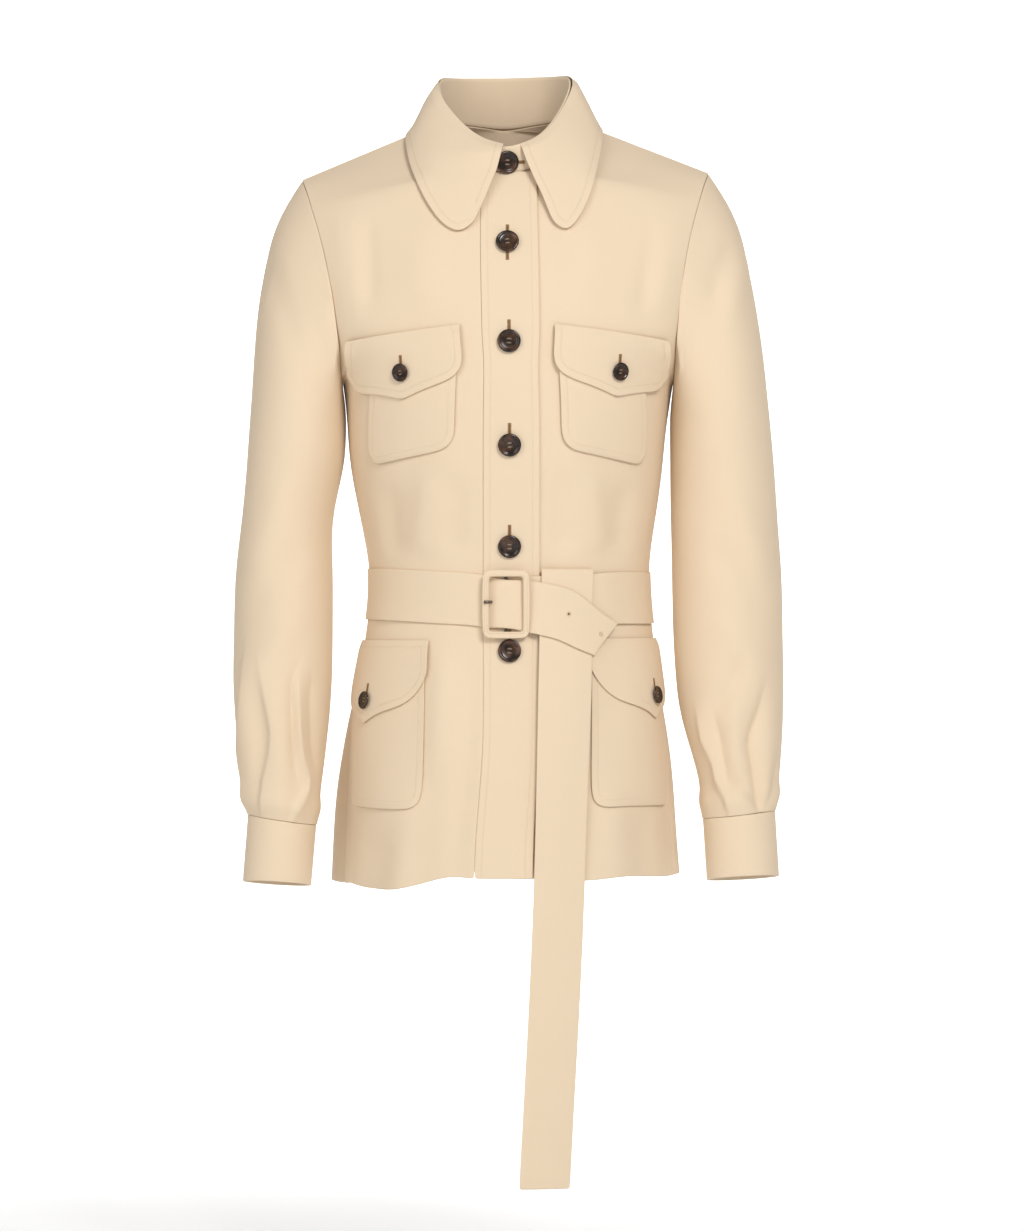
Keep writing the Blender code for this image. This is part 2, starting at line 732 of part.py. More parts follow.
def sleeve_rings(side):
    """Outer points of a sleeve, from the armhole to the cuff seam."""
    name = SIDE_NAMES[side]
    z = column(SLEEVE_RINGS, SLEEVE_COLUMNS, "z")
    heights = np.linspace(z[0], z[-1], SLEEVE_STEPS + 1)
    sizes = {}
    for label in ("x_" + name, "half_" + name, "y", "half_depth"):
        values = column(SLEEVE_RINGS, SLEEVE_COLUMNS, label)
        sizes[label] = spline(-z, values, -heights)
    angle = np.arange(SLEEVE_AROUND) * 2 * math.pi / SLEEVE_AROUND
    degrees = np.degrees(angle)
    full = -z[-1] - GATHER_END
    rings = []
    for index, height in enumerate(heights):
        swell = np.zeros(SLEEVE_AROUND)
        for place, depth, width, top in SLEEVE_GATHERS:
            off = (degrees - place + 180) % 360 - 180
            grip = ease(-height, -top, full) * (1 - GATHER_EASE * ease(-height, full, -z[-1]))
            swell -= depth * grip * np.exp(-(off / width) ** 2)
        for place, level, wide, tall, out in SLEEVE_FOLDS:
            off = (degrees - place + 180) % 360 - 180
            swell += out * np.exp(-(off / wide) ** 2 - ((height - level) / tall) ** 2)
        half_x = sizes["half_" + name][index] + swell
        half_y = sizes["half_depth"][index] + swell
        tilt = CUFF_TILT[side][0] * ease(-height, *CUFF_TILT_RUN)
        rise = SLEEVE_RISE[side] * ease(-height, *SLEEVE_RISE_RUN)
        ring = np.stack((
            side * (sizes["x_" + name][index] + half_x * np.cos(angle)),
            sizes["y"][index] - half_y * np.sin(angle),
            height + rise + tilt * half_x * np.cos(angle)), axis=1)
        rings.append(ring)
    headings = unit(sleeve_headings(side))
    armhole = armhole_ring(side) + ARMHOLE_GAP * headings
    cap = np.zeros((CAP_ROWS, SLEEVE_AROUND, 3))
    for k in range(SLEEVE_AROUND):
        start = armhole[k]
        end = rings[0][k]
        reach = np.linalg.norm(end - start)
        down = unit(rings[1][k] - rings[0][k])
        curve = bezier(start, start + CAP_HANDLES[0] * reach * headings[k],
                       end - CAP_HANDLES[1] * reach * down, end, CURVE_POINTS)
        cap[:, k] = even_steps(curve, CAP_ROWS + 1)[:-1]
    return np.concatenate((cap, np.array(rings)))


def make_sleeve(side):
    outer = sleeve_rings(side)
    centre = outer.mean(axis=1, keepdims=True)
    normals = outward(outer, centre, closed=True)
    headings = unit(sleeve_headings(side))
    reach = np.sum(-normals[0] * headings, axis=1, keepdims=True)
    normals[0] = unit(normals[0] + np.minimum(reach, 0) * headings)
    inner = outer - CLOTH * normals
    cloth("sleeve_" + SIDE_NAMES[side], outer, inner, closed=True)
    return outer


def make_cuff(side, seam_ring):
    """A cuff band that hangs on from the gathered end of the sleeve."""
    middle = seam_ring.mean(axis=0)
    angle = np.arange(SLEEVE_AROUND) * 2 * math.pi / SLEEVE_AROUND
    name = SIDE_NAMES[side]
    half_x = SLEEVE_RINGS[-1][SLEEVE_COLUMNS.index("half_" + name)] - CUFF_INSET
    half_y = SLEEVE_RINGS[-1][SLEEVE_COLUMNS.index("half_depth")] - CUFF_INSET
    shift_x, shift_y = CUFF_SHIFT[side]
    rows = []
    for share in np.linspace(0, 1, CUFF_ROWS + 1):
        grow = 1 + (CUFF_FLARE - 1) * share
        tilt = CUFF_TILT[side][0] + (CUFF_TILT[side][1] - CUFF_TILT[side][0]) * share
        rows.append(np.stack((
            middle[0] + shift_x * share + side * half_x * grow * np.cos(angle),
            middle[1] + shift_y * share - half_y * grow * np.sin(angle),
            middle[2] - SEAM_GAP - CUFF_DROP * share + tilt * half_x * np.cos(angle)
            + CUFF_DIP * share * half_y * np.sin(angle)), axis=1))
    outer = np.array(rows)
    normals = outward(outer, outer.mean(axis=1, keepdims=True), closed=True)
    cloth("cuff_" + name, outer, outer - CUFF_CLOTH * normals, closed=True)


def shoulder_normal(side, share):
    """Wall direction along the shoulder seam, which front and back share."""
    both = [panel.sample(panel.normals, share, panel.last) for panel in (FRONTS[side], BACKS[side])]
    return unit(unit(both[0]) + unit(both[1]))


def panel_grid(panel, key, first, columns):
    """Outer points and wall directions of a half panel, from a distance off the centre line to its edge."""
    walls = WALLS[panel.side][key]
    headings = unit(sleeve_headings(panel.side))
    outer = np.zeros((len(LEVELS), columns + 1, 3))
    normals = np.zeros_like(outer)
    for i, level in enumerate(LEVELS):
        length = panel.row_length(level)
        start = first if level <= panel.neck_row else 0.0
        for j in range(columns + 1):
            across = start + (length - start) * j / columns
            outer[i, j] = panel.beside(across, level)
            normals[i, j] = panel.sample(panel.normals, abs(across) / length, level)
            if level == panel.last:
                normals[i, j] = shoulder_normal(panel.side, abs(across) / length)
            if across < 0:
                normals[i, j, 0] = -normals[i, j, 0]
    normals = unit(normals)
    normals[:, -1] = walls
    for i in range(ARM_FIRST, len(LEVELS)):
        step = len(LEVELS) - 1 - i
        heading = headings[step if key == "front" else -step]
        reach = min(0.0, float(normals[i, -1] @ heading))
        normals[i, -1] = unit(normals[i, -1] - reach * heading)
    sign = -1 if key == "front" else 1
    outer[:ARM_FIRST + 1, -1, 1] += sign * SEAM_GAP / 2
    outer[-1, :, 1] += sign * SEAM_GAP / 2
    return outer, normals


def make_back():
    halves = [panel_grid(BACKS[side], "back", CENTRE_STRIP, BACK_COLUMNS) for side in (RIGHT, LEFT)]
    outer = np.concatenate((halves[0][0][:, ::-1], halves[1][0]), axis=1)
    normals = np.concatenate((halves[0][1][:, ::-1], halves[1][1]), axis=1)
    neck = [(i, BACK_COLUMNS) for i in range(len(LEVELS) - 1) if LEVELS[i + 1] > BACK_NECK_ROW]
    cloth("back", outer, outer - CLOTH * normals, open_cells=neck)


def make_front_right():
    """The upper front; it ends at the placket's seam."""
    outer, normals = panel_grid(FRONTS[RIGHT], "front", PLACKET_SEAM + SEAM_GAP, FRONT_COLUMNS)
    cloth("front_right", outer, outer - CLOTH * normals)


def make_front_left():
    """The under front; it reaches past the centre line beneath the placket."""
    outer, normals = panel_grid(FRONTS[LEFT], "front", -UNDERLAP_REACH, FRONT_COLUMNS)
    sunk = UNDERLAP_DEPTH * (1 - ease(outer[..., 0], *UNDERLAP_FADE))
    sunk *= (1 - ease(outer[..., 2], *UNDERLAP_TOP))
    outer = outer - sunk[..., None] * normals
    cloth("front_left", outer, outer - CLOTH * normals)


def make_placket():
    """The button band: from the right front's seam, over the centre line, to its free edge."""
    reaches = np.linspace(PLACKET_SEAM, -PLACKET_EDGE, PLACKET_COLUMNS + 1)
    levels = LEVELS[LEVELS <= FRONT_NECK_ROW]
    panel = FRONTS[RIGHT]
    outer = np.array([[panel.beside(across, level, PLACKET_OUT) for across in reaches] for level in levels])
    outer[-1, :, 2] -= SEAM_GAP
    normals = outward(outer, np.array(BODY_MIDDLE))
    cloth("placket", outer, outer - PLACKET_CLOTH * normals)


def neckline(station, side):
    """Point of the neck seam: 0 at the neck pit, 3 at the shoulder seam, 5 at the nape."""
    if station <= 3:
        return FRONTS[side].at(0.0, FRONT_NECK_ROW + station)
    return BACKS[side].at(0.0, BACKS[side].last - (station - 3))


def stand_top(station, side):
    """Point of the collar stand's top edge."""
    x, y, z = spline(column(STAND_TOP, STAND_COLUMNS, "station"), [row[1:] for row in STAND_TOP], station)[0]
    return np.array((side * x, y, z))


def collar_stations():
    """Places round the neck, each a side and a station: from a lap past the centre on the left, round by the
    right side, the nape and the left side, to a shorter lap past the centre on the right."""
    places = [(LEFT, STAND_RIGHT_END / STATION_LENGTH), (LEFT, STAND_RIGHT_END / STATION_LENGTH / 2)]
    places += [(RIGHT, half / 2) for half in range(11)]
    places += [(LEFT, half / 2) for half in range(9, -1, -1)]
    return places + [(RIGHT, STAND_LEFT_END / STATION_LENGTH)]


def make_collar_stand():
    """A band round the neck whose right end laps over its left end at the front."""
    stations = collar_stations()
    rows = []
    for share in np.linspace(0, 1, STAND_ROWS + 1):
        rows.append([(1 - share) * neckline(station, side) + share * stand_top(station, side)
                     for side, station in stations])
    outer = np.array(rows)
    outer[0, :, 2] += SEAM_GAP
    outer[1:, :, 2] += SEAM_GAP
    normals = outward(outer, np.array(NECK_MIDDLE))
    normals[0] = unit(normals[0] * (1, 1, 0))
    run = np.linspace(0, 1, len(stations))
    lap = STAND_LAP * (0.5 - ease(run, *STAND_LAP_RUN))
    outer = outer + lap[None, :, None] * normals
    cloth("collar_stand", outer, outer - CLOTH * normals)


def surface_tree(names):
    """Search tree over the outer faces of finished pieces, in millimetres."""
    points = []
    faces = []
    for name in names:
        mesh = bpy.data.objects[name].data
        base = len(points)
        points += [vertex.co / MM for vertex in mesh.vertices]
        middle = Vector(BODY_MIDDLE) * MM
        faces += [tuple(base + corner for corner in polygon.vertices) for polygon in mesh.polygons
                  if polygon.normal.dot(polygon.center - middle) > 0]
    return BVHTree.FromPolygons(points, faces)


def settle(grid, tree, clearance, rounds=3):
    """A posed grid moved off the pieces beneath it until each point has its clearance."""
    settled = grid.copy()
    for _ in range(rounds):
        for index in np.ndindex(settled.shape[:2]):
            spot, normal, _, _ = tree.find_nearest(Vector(settled[index]))
            above = (Vector(settled[index]) - spot).dot(normal)
            if above < clearance:
                settled[index] += np.array(normal) * (clearance - above)
    return settled


def unpose(points):
    """The inverse of the shoulders' carriage, by a few steps."""
    plain = points.copy()
    for _ in range(6):
        plain = plain + (points - pose(plain))
    return plain


def make_collar_leaf():
    """The turned-down leaf: from the roll line over the stand to its outer edge with rounded points."""
    columns = []
    for side in (RIGHT, LEFT):
        table = LEAF_EDGE[side]
        knots = column(table, LEAF_COLUMNS, "station")
        edge_rows = [row[1:] for row in table]
        share = np.linspace(0, 1, LEAF_FRONT_CELLS + 1)
        to_shoulder = knots[0] + (LEAF_SHOULDER - knots[0]) * (1 - LEAF_SPREAD * (1 - share)) * share
        to_nape = np.linspace(LEAF_SHOULDER, knots[-1], LEAF_BACK_CELLS + 1)[1:]
        stations = np.concatenate((to_shoulder, to_nape))
        half = []
        for station in stations:
            roll = stand_top(station, side)
            out = unit(roll * (1, 1, 0))
            roll = roll + LEAF_ROLL_OUT * out + (0, 0, LEAF_ROLL_UP)
            edge = spline(knots, edge_rows, station)[0] * (side, 1, 1)
            reach = np.linalg.norm(edge - roll)
            near = roll + reach * (LEAF_START[0] * out + LEAF_START[1] * UP)
            far = edge + reach * (LEAF_END[0] * unit(roll - edge) + LEAF_END[1] * UP)
            half.append(even_steps(bezier(roll, near, far, edge, CURVE_POINTS), LEAF_ROWS + 1))
        columns += half if side == RIGHT else half[-2::-1]
    outer = np.array(columns).transpose(1, 0, 2)
    under = surface_tree(("front_right", "front_left", "back", "placket"))
    outer = settle(pose(outer), under, LEAF_CLEAR + LEAF_CLOTH)
    normals = outward(outer, np.array(NECK_MIDDLE))
    cloth("collar_leaf", unpose(outer), unpose(outer - LEAF_CLOTH * normals))


def corner_round(share, width, radius):
    """How far a lower edge rises towards the sides of a pocket with round corners."""
    from_side = min(share, 1 - share) * width
    if from_side >= radius:
        return 0.0
    return radius - math.sqrt(radius ** 2 - (radius - from_side) ** 2)


def patch(name, panel, rows, thickness, lifts):
    """A piece that lies on a panel: rows of (distance, height) places, lifted row by row."""
    inner = np.array([[panel.place(across, z, lift) for across, z in row] for row, lift in zip(rows, lifts)])
    outer = np.array([[panel.place(across, z, lift + thickness) for across, z in row]
                      for row, lift in zip(rows, lifts)])
    cloth(name, outer, inner)


def make_pocket(name, panel, sizes):
    size = dict(zip(POCKET_COLUMNS, sizes))
    width = size["outer"] - size["inner"]
    rows = []
    for step in np.linspace(0, 1, POCKET_ROWS + 1):
        row = []
        for share in POCKET_SHARES:
            top = size["top_inner"] + (size["top_outer"] - size["top_inner"]) * share
            bottom = size["bottom_inner"] + (size["bottom_outer"] - size["bottom_inner"]) * share
            bottom += corner_round(share, width, size["corner"])
            row.append((size["inner"] + width * share, top + (bottom - top) * step))
        rows.append(row)
    patch(name, panel, rows, PATCH, [LIFT] * len(rows))


def make_flap(name, panel, sizes):
    """A flap with round corners and a blunt point; it steps up over the pocket beneath it. The lean carries
    the middle of the shape to the point's share of the width."""
    size = dict(zip(FLAP_COLUMNS, sizes))
    depth = size["depth"]
    lean = math.log(size["point"]) / math.log(0.5)
    rows = []
    lifts = []
    for step in np.linspace(0, 1, FLAP_ROWS + 1):
        row = []
        width = size["outer"] + size["flare"] * step - size["inner"]
        for even_share, drop in FLAP_SHAPE:
            share = even_share ** lean
            top = size["top_inner"] + (size["top_outer"] - size["top_inner"]) * share
            row.append((size["inner"] + width * share, top - depth * drop * step))
        rows.append(row)
        lifts.append(LIFT + (PATCH + LIFT) * float(ease(depth * step, *FLAP_STEP)))
    patch(name, panel, rows, FLAP_CLOTH, lifts)


def make_button(name, centre, normal, radius):
    """A turned button: a rounded back, a raised rim and a dished face."""
    normal = unit(np.asarray(normal, float))
    side = unit(np.cross(normal, UP))
    up = np.cross(side, normal)
    points = []
    for share, high in BUTTON_PROFILE[:-1]:
        for k in range(BUTTON_SIDES):
            angle = 2 * math.pi * k / BUTTON_SIDES
            spoke = math.cos(angle) * side + math.sin(angle) * up
            points.append(centre + radius * share * spoke + BUTTON_THICKNESS * high * normal)
    hub = len(points)
    points.append(centre + BUTTON_THICKNESS * BUTTON_PROFILE[-1][1] * normal)
    faces = [tuple(range(BUTTON_SIDES))]
    for ring in range(len(BUTTON_PROFILE) - 2):
        for k in range(BUTTON_SIDES):
            a = ring * BUTTON_SIDES + k
            b = ring * BUTTON_SIDES + (k + 1) % BUTTON_SIDES
            faces.append((b, a, a + BUTTON_SIDES, b + BUTTON_SIDES))
    last = hub - BUTTON_SIDES
    for k in range(BUTTON_SIDES):
        faces.append((last + (k + 1) % BUTTON_SIDES, last + k, hub))
    add_object(name, points, faces, material("dark_horn_" + name, HORN_COLOUR, HORN_ROUGHNESS))


def make_front_buttons():
    panel = FRONTS[RIGHT]
    seat = PLACKET_OUT + BUTTON_SEAT
    for number, height in enumerate(FRONT_BUTTON_HEIGHTS, start=1):
        if number == 1:
            tree = surface_tree(("collar_stand",))
            start = Vector((FRONT_BUTTON_X + SHOULDER_LEAN, BUTTON_FROM, height))
            spot, normal, _, _ = tree.ray_cast(start, Vector((0, 1, 0)))
            centre = np.array(spot) + BUTTON_SEAT * np.array(normal)
            centre = unpose(centre[None])[0]
            facing = np.array(normal)
        else:
            centre = panel.place(-FRONT_BUTTON_X, height, seat)
            facing = panel.facing(-FRONT_BUTTON_X, height)
        make_button("front_button_%d" % number, centre, facing, FRONT_BUTTON_RADIUS)


def make_flap_button(name, panel, sizes):
    size = dict(zip(FLAP_COLUMNS, sizes))
    across = size["button"]
    height = (size["top_inner"] + size["top_outer"]) / 2 - size["button_drop"]
    lift = LIFT + (PATCH + LIFT) + FLAP_CLOTH + FLAP_BUTTON_SEAT
    make_button(name, panel.place(across, height, lift), panel.facing(across, height), FLAP_BUTTON_RADIUS)


def half_girth(z):
    """Lengths of the front and the back row of one body half at a height."""
    return [panel.row_length(panel.find(0.0, z)[1]) for panel in (FRONTS[LEFT], BACKS[LEFT])]


BELT_GIRTH = 2 * sum(half_girth(BELT_START[0][1]))


def waist_point(girth, z, out):
    """Point round the waist by girth from the centre front towards the left side, at a height."""
    front, back = half_girth(z)
    side = LEFT if girth >= 0 else RIGHT
    reach = abs(girth)
    stretch = 2 * (front + back) / BELT_GIRTH - 1
    reach *= 1 + stretch * float(ease(reach, BELT_EVEN, BELT_GIRTH / 2))
    if reach <= front:
        return FRONTS[side].place(reach, z, out)
    return BACKS[side].place(max(0.0, front + back - reach), z, out)


def strip(name, middle, thickness):
    """A flat strip of cloth round its middle surface."""
    normals = grid_normals(middle)
    cloth(name, middle + thickness / 2 * normals, middle - thickness / 2 * normals)


def belt_stations():
    """Places along the belt's middle line, each with girth, height, out and lean, at short steps."""
    keys = list(BELT_START)
    around = BELT_GIRTH + BELT_FINISH[0][0] - BELT_START[-1][0]
    keys += [(BELT_START[-1][0] + around * share, z, BELT_BACK, 0) for share, z in BELT_AROUND]
    keys += [(BELT_GIRTH + row[0],) + tuple(row[1:]) for row in BELT_FINISH]
    keys = np.array(keys, float)
    lengths = np.linalg.norm(np.diff(keys[:, :3], axis=0), axis=1)
    along = np.concatenate(([0], np.cumsum(lengths)))
    places = []
    for first, length in zip(along, lengths):
        count = max(1, round(length / BELT_STEP))
        places += [first + length * step / count for step in range(count)]
    return spline(along, keys, places + [along[-1]])


def make_belt():
    stations = belt_stations()
    middle = np.zeros((BELT_ROWS + 1, len(stations), 3))
    for j, (girth, z, out, lean) in enumerate(stations):
        angle = math.radians(lean)
        past_back = BELT_GIRTH if girth > BELT_GIRTH / 2 else 0.0
        for i, width in enumerate(np.linspace(BELT_WIDTH / 2, -BELT_WIDTH / 2, BELT_ROWS + 1)):
            middle[i, j] = waist_point(girth - past_back + width * math.sin(angle),
                                       z + width * math.cos(angle), out)
    strip("belt", middle, BELT_CLOTH)


def make_belt_drop():
    """The belt's long end: up behind the belt, over its top edge and down the front."""
    panel = FRONTS[LEFT]
    rows = []
    total = len(DROP_OVER) + len(DROP_FREE)
    for index, (x, z, out) in enumerate(DROP_OVER):
        width = DROP_WIDTH[0] + (DROP_WIDTH[1] - DROP_WIDTH[0]) * index / total
        rows.append([panel.place(x + share * width, z, out) for share in DROP_SHARES])
    hem_row = np.array(rows[-1])
    for index, (x, z) in enumerate(DROP_FREE, start=len(DROP_OVER)):
        width = DROP_WIDTH[0] + (DROP_WIDTH[1] - DROP_WIDTH[0]) * index / total
        low = hem_row.copy()
        low[:, 0] = x + width * np.array(DROP_SHARES)
        low[:, 2] = z
        rows.append(low)
    strip("belt_drop", np.array(rows, float), BELT_CLOTH)


def rounded_loop(half_x, half_z, radius):
    """Outline of a rectangle with round corners, anticlockwise in x and z."""
    loop = []
    for turn, (sign_x, sign_z) in enumerate(((1, 1), (-1, 1), (-1, -1), (1, -1))):
        for step in range(BUCKLE_CORNER_STEPS + 1):
            angle = math.pi / 2 * (turn + step / BUCKLE_CORNER_STEPS)
            loop.append((sign_x * (half_x - radius) + radius * math.cos(angle),
                         sign_z * (half_z - radius) + radius * math.sin(angle)))
    return np.array(loop)


def make_buckle():
    centre_x, centre_z = BUCKLE_CENTRE
    surface = FRONTS[RIGHT].place(0.0, centre_z)[1]
    half_x, half_z = BUCKLE_HALF
    sections = []
    soft = BUCKLE_SOFTEN
    for inset, out in ((0, soft), (0, BUCKLE_THICKNESS - soft), (soft, BUCKLE_THICKNESS),
                       (BUCKLE_BAR - soft, BUCKLE_THICKNESS), (BUCKLE_BAR, BUCKLE_THICKNESS - soft),
                       (BUCKLE_BAR, soft), (BUCKLE_BAR - soft, 0), (soft, 0)):
        share = inset / BUCKLE_BAR
        radius = BUCKLE_CORNER + (BUCKLE_INNER_CORNER - BUCKLE_CORNER) * share
        loop = rounded_loop(half_x - inset, half_z - inset, radius)
        sections.append(np.stack((centre_x + loop[:, 0],
                                  np.full(len(loop), surface - BUCKLE_OUT - out),
                                  centre_z + loop[:, 1]), axis=1))
    count = len(sections[0])
    points = np.concatenate(sections)
    faces = []
    for ring in range(len(sections)):
        after = (ring + 1) % len(sections)
        for k in range(count):
            n = (k + 1) % count
            faces.append((ring * count + k, ring * count + n, after * count + n, after * count + k))
    add_object("buckle_frame", points, faces, material("pale_wool_buckle_frame", CLOTH_COLOUR, CLOTH_ROUGHNESS))
    make_buckle_bar(surface)
    make_prong(surface)


def swept_box(name, path, half_x, half_out, finish):
    """A bar of rectangular section along a path of (z, y) places at one x."""
    centre_x = BUCKLE_CENTRE[0]
    path = np.array(path, float)
    heading = unit(np.gradient(path, axis=0))
    points = []
    for (z, y), (along_z, along_y) in zip(path, heading):
        for sign_x, sign_out in ((-1, -1), (1, -1), (1, 1), (-1, 1)):
            points.append((centre_x + sign_x * half_x, y + sign_out * half_out * along_z,
                           z - sign_out * half_out * along_y))
    faces = [(0, 1, 2, 3)]
    for step in range(len(path) - 1):
        a = 4 * step
        for k in range(4):
            n = (k + 1) % 4
            faces.append((a + n, a + k, a + 4 + k, a + 4 + n))
    end = 4 * (len(path) - 1)
    faces.append((end + 3, end + 2, end + 1, end))
    add_object(name, points, faces, finish)


def make_buckle_bar(surface):
    """The hidden bar: bent back at both ends to the frame's cross bars."""
    centre_z = BUCKLE_CENTRE[1]
    high = surface - (BUCKLE_OUT - SEAM_GAP - BAR_THICKNESS / 2)
    low = surface - BAR_OUT
    end = BUCKLE_HALF[1] - BAR_END
    bend = BELT_WIDTH / 2 + BAR_CLEAR
    path = ((centre_z - end, high), (centre_z - bend - BAR_BEND, high), (centre_z - bend, low), (centre_z, low),
            (centre_z + bend, low), (centre_z + bend + BAR_BEND, high), (centre_z + end, high))
    finish = material("dark_metal_bar", METAL_COLOUR, METAL_ROUGHNESS, 1.0)
    swept_box("buckle_bar", path, BAR_WIDTH / 2, BAR_THICKNESS / 2, finish)


def make_prong(surface):
    """The prong's free end: a thin round rod that comes up out of the strap onto the frame's bar."""
    centre_z = BUCKLE_CENTRE[1] + PRONG_RISE
    path = np.array([(x, surface - out, centre_z) for x, out in PRONG_PATH])
    heading = unit(np.gradient(path, axis=0))
    points = []
    for spot, along in zip(path, heading):
        side = np.cross(along, UP)
        for k in range(PRONG_SIDES):
            angle = 2 * math.pi * k / PRONG_SIDES
            points.append(spot + PRONG_RADIUS * (math.cos(angle) * side + math.sin(angle) * UP))
    faces = [tuple(range(PRONG_SIDES))]
    for ring in range(len(path) - 1):
        for k in range(PRONG_SIDES):
            n = (k + 1) % PRONG_SIDES
            a = ring * PRONG_SIDES
            faces.append((a + n, a + k, a + PRONG_SIDES + k, a + PRONG_SIDES + n))
    end = (len(path) - 1) * PRONG_SIDES
    faces.append(tuple(end + k for k in reversed(range(PRONG_SIDES))))
    add_object("prong", points, faces, material("dark_metal_prong", METAL_COLOUR, METAL_ROUGHNESS, 1.0))


def clear_scene():
    for old in list(bpy.data.objects):
        bpy.data.objects.remove(old, do_unlink=True)


def main():
    clear_scene()
    make_back()
    make_front_right()
    make_front_left()
    make_placket()
    for side in (RIGHT, LEFT):
        rings = make_sleeve(side)
        make_cuff(side, rings[-1])
    make_collar_stand()
    make_collar_leaf()
    for side in (RIGHT, LEFT):
        name = SIDE_NAMES[side]
        panel = FRONTS[side]
        make_pocket("chest_pocket_" + name, panel, CHEST_POCKET)
        make_pocket("lower_pocket_" + name, panel, LOWER_POCKET)
        make_flap("chest_flap_" + name, panel, CHEST_FLAP[side])
        make_flap("lower_flap_" + name, panel, LOWER_FLAP[side])
        make_flap_button("chest_button_" + name, panel, CHEST_FLAP[side])
        make_flap_button("lower_button_" + name, panel, LOWER_FLAP[side])
    make_front_buttons()
    make_belt()
    make_belt_drop()
    make_buckle()


main()
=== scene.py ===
# %% [markdown]
# # A belted safari jacket
# The jacket is worn, but only the cloth is there: a hollow body, two sleeves that run into cuffs, a
# turned-down collar, pockets with pointed flaps, and a belt whose long end hangs down in front.
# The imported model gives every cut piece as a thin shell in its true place. This script keeps those
# shapes and adds what a needle, an iron and the weight of the cloth would add.

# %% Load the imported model
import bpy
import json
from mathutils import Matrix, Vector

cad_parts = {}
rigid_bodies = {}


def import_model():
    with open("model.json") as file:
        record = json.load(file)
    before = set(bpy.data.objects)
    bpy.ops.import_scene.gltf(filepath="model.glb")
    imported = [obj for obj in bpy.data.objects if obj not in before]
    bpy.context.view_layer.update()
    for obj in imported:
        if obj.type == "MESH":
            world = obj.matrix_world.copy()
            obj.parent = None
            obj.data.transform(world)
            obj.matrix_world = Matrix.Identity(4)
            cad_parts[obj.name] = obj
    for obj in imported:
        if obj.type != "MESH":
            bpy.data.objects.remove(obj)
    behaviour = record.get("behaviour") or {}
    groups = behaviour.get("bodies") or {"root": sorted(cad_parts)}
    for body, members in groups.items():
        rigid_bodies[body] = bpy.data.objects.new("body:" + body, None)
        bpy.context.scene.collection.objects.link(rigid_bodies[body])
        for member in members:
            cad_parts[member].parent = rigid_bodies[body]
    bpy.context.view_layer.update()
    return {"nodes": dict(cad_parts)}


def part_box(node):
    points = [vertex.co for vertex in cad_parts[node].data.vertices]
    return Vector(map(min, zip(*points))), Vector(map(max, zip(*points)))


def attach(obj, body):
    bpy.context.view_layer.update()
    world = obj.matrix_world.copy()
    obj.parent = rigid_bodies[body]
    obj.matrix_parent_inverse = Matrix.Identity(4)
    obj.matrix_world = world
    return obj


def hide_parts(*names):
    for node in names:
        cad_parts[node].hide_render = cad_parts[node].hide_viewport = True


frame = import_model()

import json
import math

import bmesh
import bpy
import numpy as np
from mathutils import Vector
from mathutils.bvhtree import BVHTree
from mathutils.kdtree import KDTree

MM = 0.001
print("packed pieces:", len(frame["nodes"]))


# %% [markdown]
# ## Camera
# A studio stands the camera far back and level with the middle of the jacket, so the front is seen
# almost without perspective. A long lens on a tall frame does the same here. The height of the frame at
# the jacket follows from the scale of the picture: 1231 rows of 0.95 mm.

# %% Camera
PHOTO_COLUMNS, PHOTO_ROWS = 1024, 1231
PIXEL = 0.95 * MM
FRAME_HEIGHT = PHOTO_ROWS * PIXEL
CAMERA_PLACE = (0.0038, -5.0, -0.4575)
SENSOR = 36.0
eye = bpy.data.cameras.new("studio_camera")
eye.sensor_fit = "VERTICAL"
eye.sensor_height = SENSOR
eye.lens = SENSOR * -CAMERA_PLACE[1] / FRAME_HEIGHT
camera = bpy.data.objects.new("studio_camera", eye)
camera.location = CAMERA_PLACE
camera.rotation_euler = (math.pi / 2, 0, 0)
bpy.context.scene.collection.objects.link(camera)
bpy.context.scene.camera = camera
print("lens: %.1f mm" % eye.lens)


# %% [markdown]
# ## Small tools
# Most pieces start the same way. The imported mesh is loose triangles, so a copy is merged, its triangles
# are paired back to the quads that they came from, and the sharp rim round the cloth's edge gets a crease.
# Catmull-Clark subdivision then rounds the cloth and keeps the edge crisp, as a pressed edge is. Sculpting
# or a cloth simulation could give the same roundness, but not the same shape on every run.

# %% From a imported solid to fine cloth
MERGE = 1e-6
RIM_ANGLE = math.radians(50)
PAIR_ANGLE = math.radians(40)
RIM_CREASE = 0.55
POINT_TURN = math.radians(30)
POINT_CREASE = 0.85
FINE, MEDIUM = 3, 2      # rounds of subdivision


def ease(value, start, end):
    """Smooth step from 0 at start to 1 at end."""
    share = np.clip((np.asarray(value, float) - start) / (end - start), 0, 1)
    return share * share * (3 - 2 * share)


def unit(vectors):
    return vectors / np.maximum(np.linalg.norm(vectors, axis=-1, keepdims=True), 1e-12)


def link(name, mesh):
    made = bpy.data.objects.new(name, mesh)
    bpy.context.scene.collection.objects.link(made)
    return made


def point_mesh(name, points, edges=None, faces=None):
    mesh = bpy.data.meshes.new(name)
    mesh.from_pydata(points, edges or [], faces or [])
    return mesh


def shell_object(name, shell):
    """An object from a mesh in work, which is then freed."""
    mesh = bpy.data.meshes.new(name)
    shell.to_mesh(mesh)
    shell.free()
    return link(name, mesh)


def plain_mesh(made):
    """The object with its modifiers turned into a plain mesh."""
    graph = bpy.context.evaluated_depsgraph_get()
    mesh = bpy.data.meshes.new_from_object(made.evaluated_get(graph), depsgraph=graph)
    made.modifiers.clear()
    made.data = mesh
    mesh.name = made.name
    return mesh


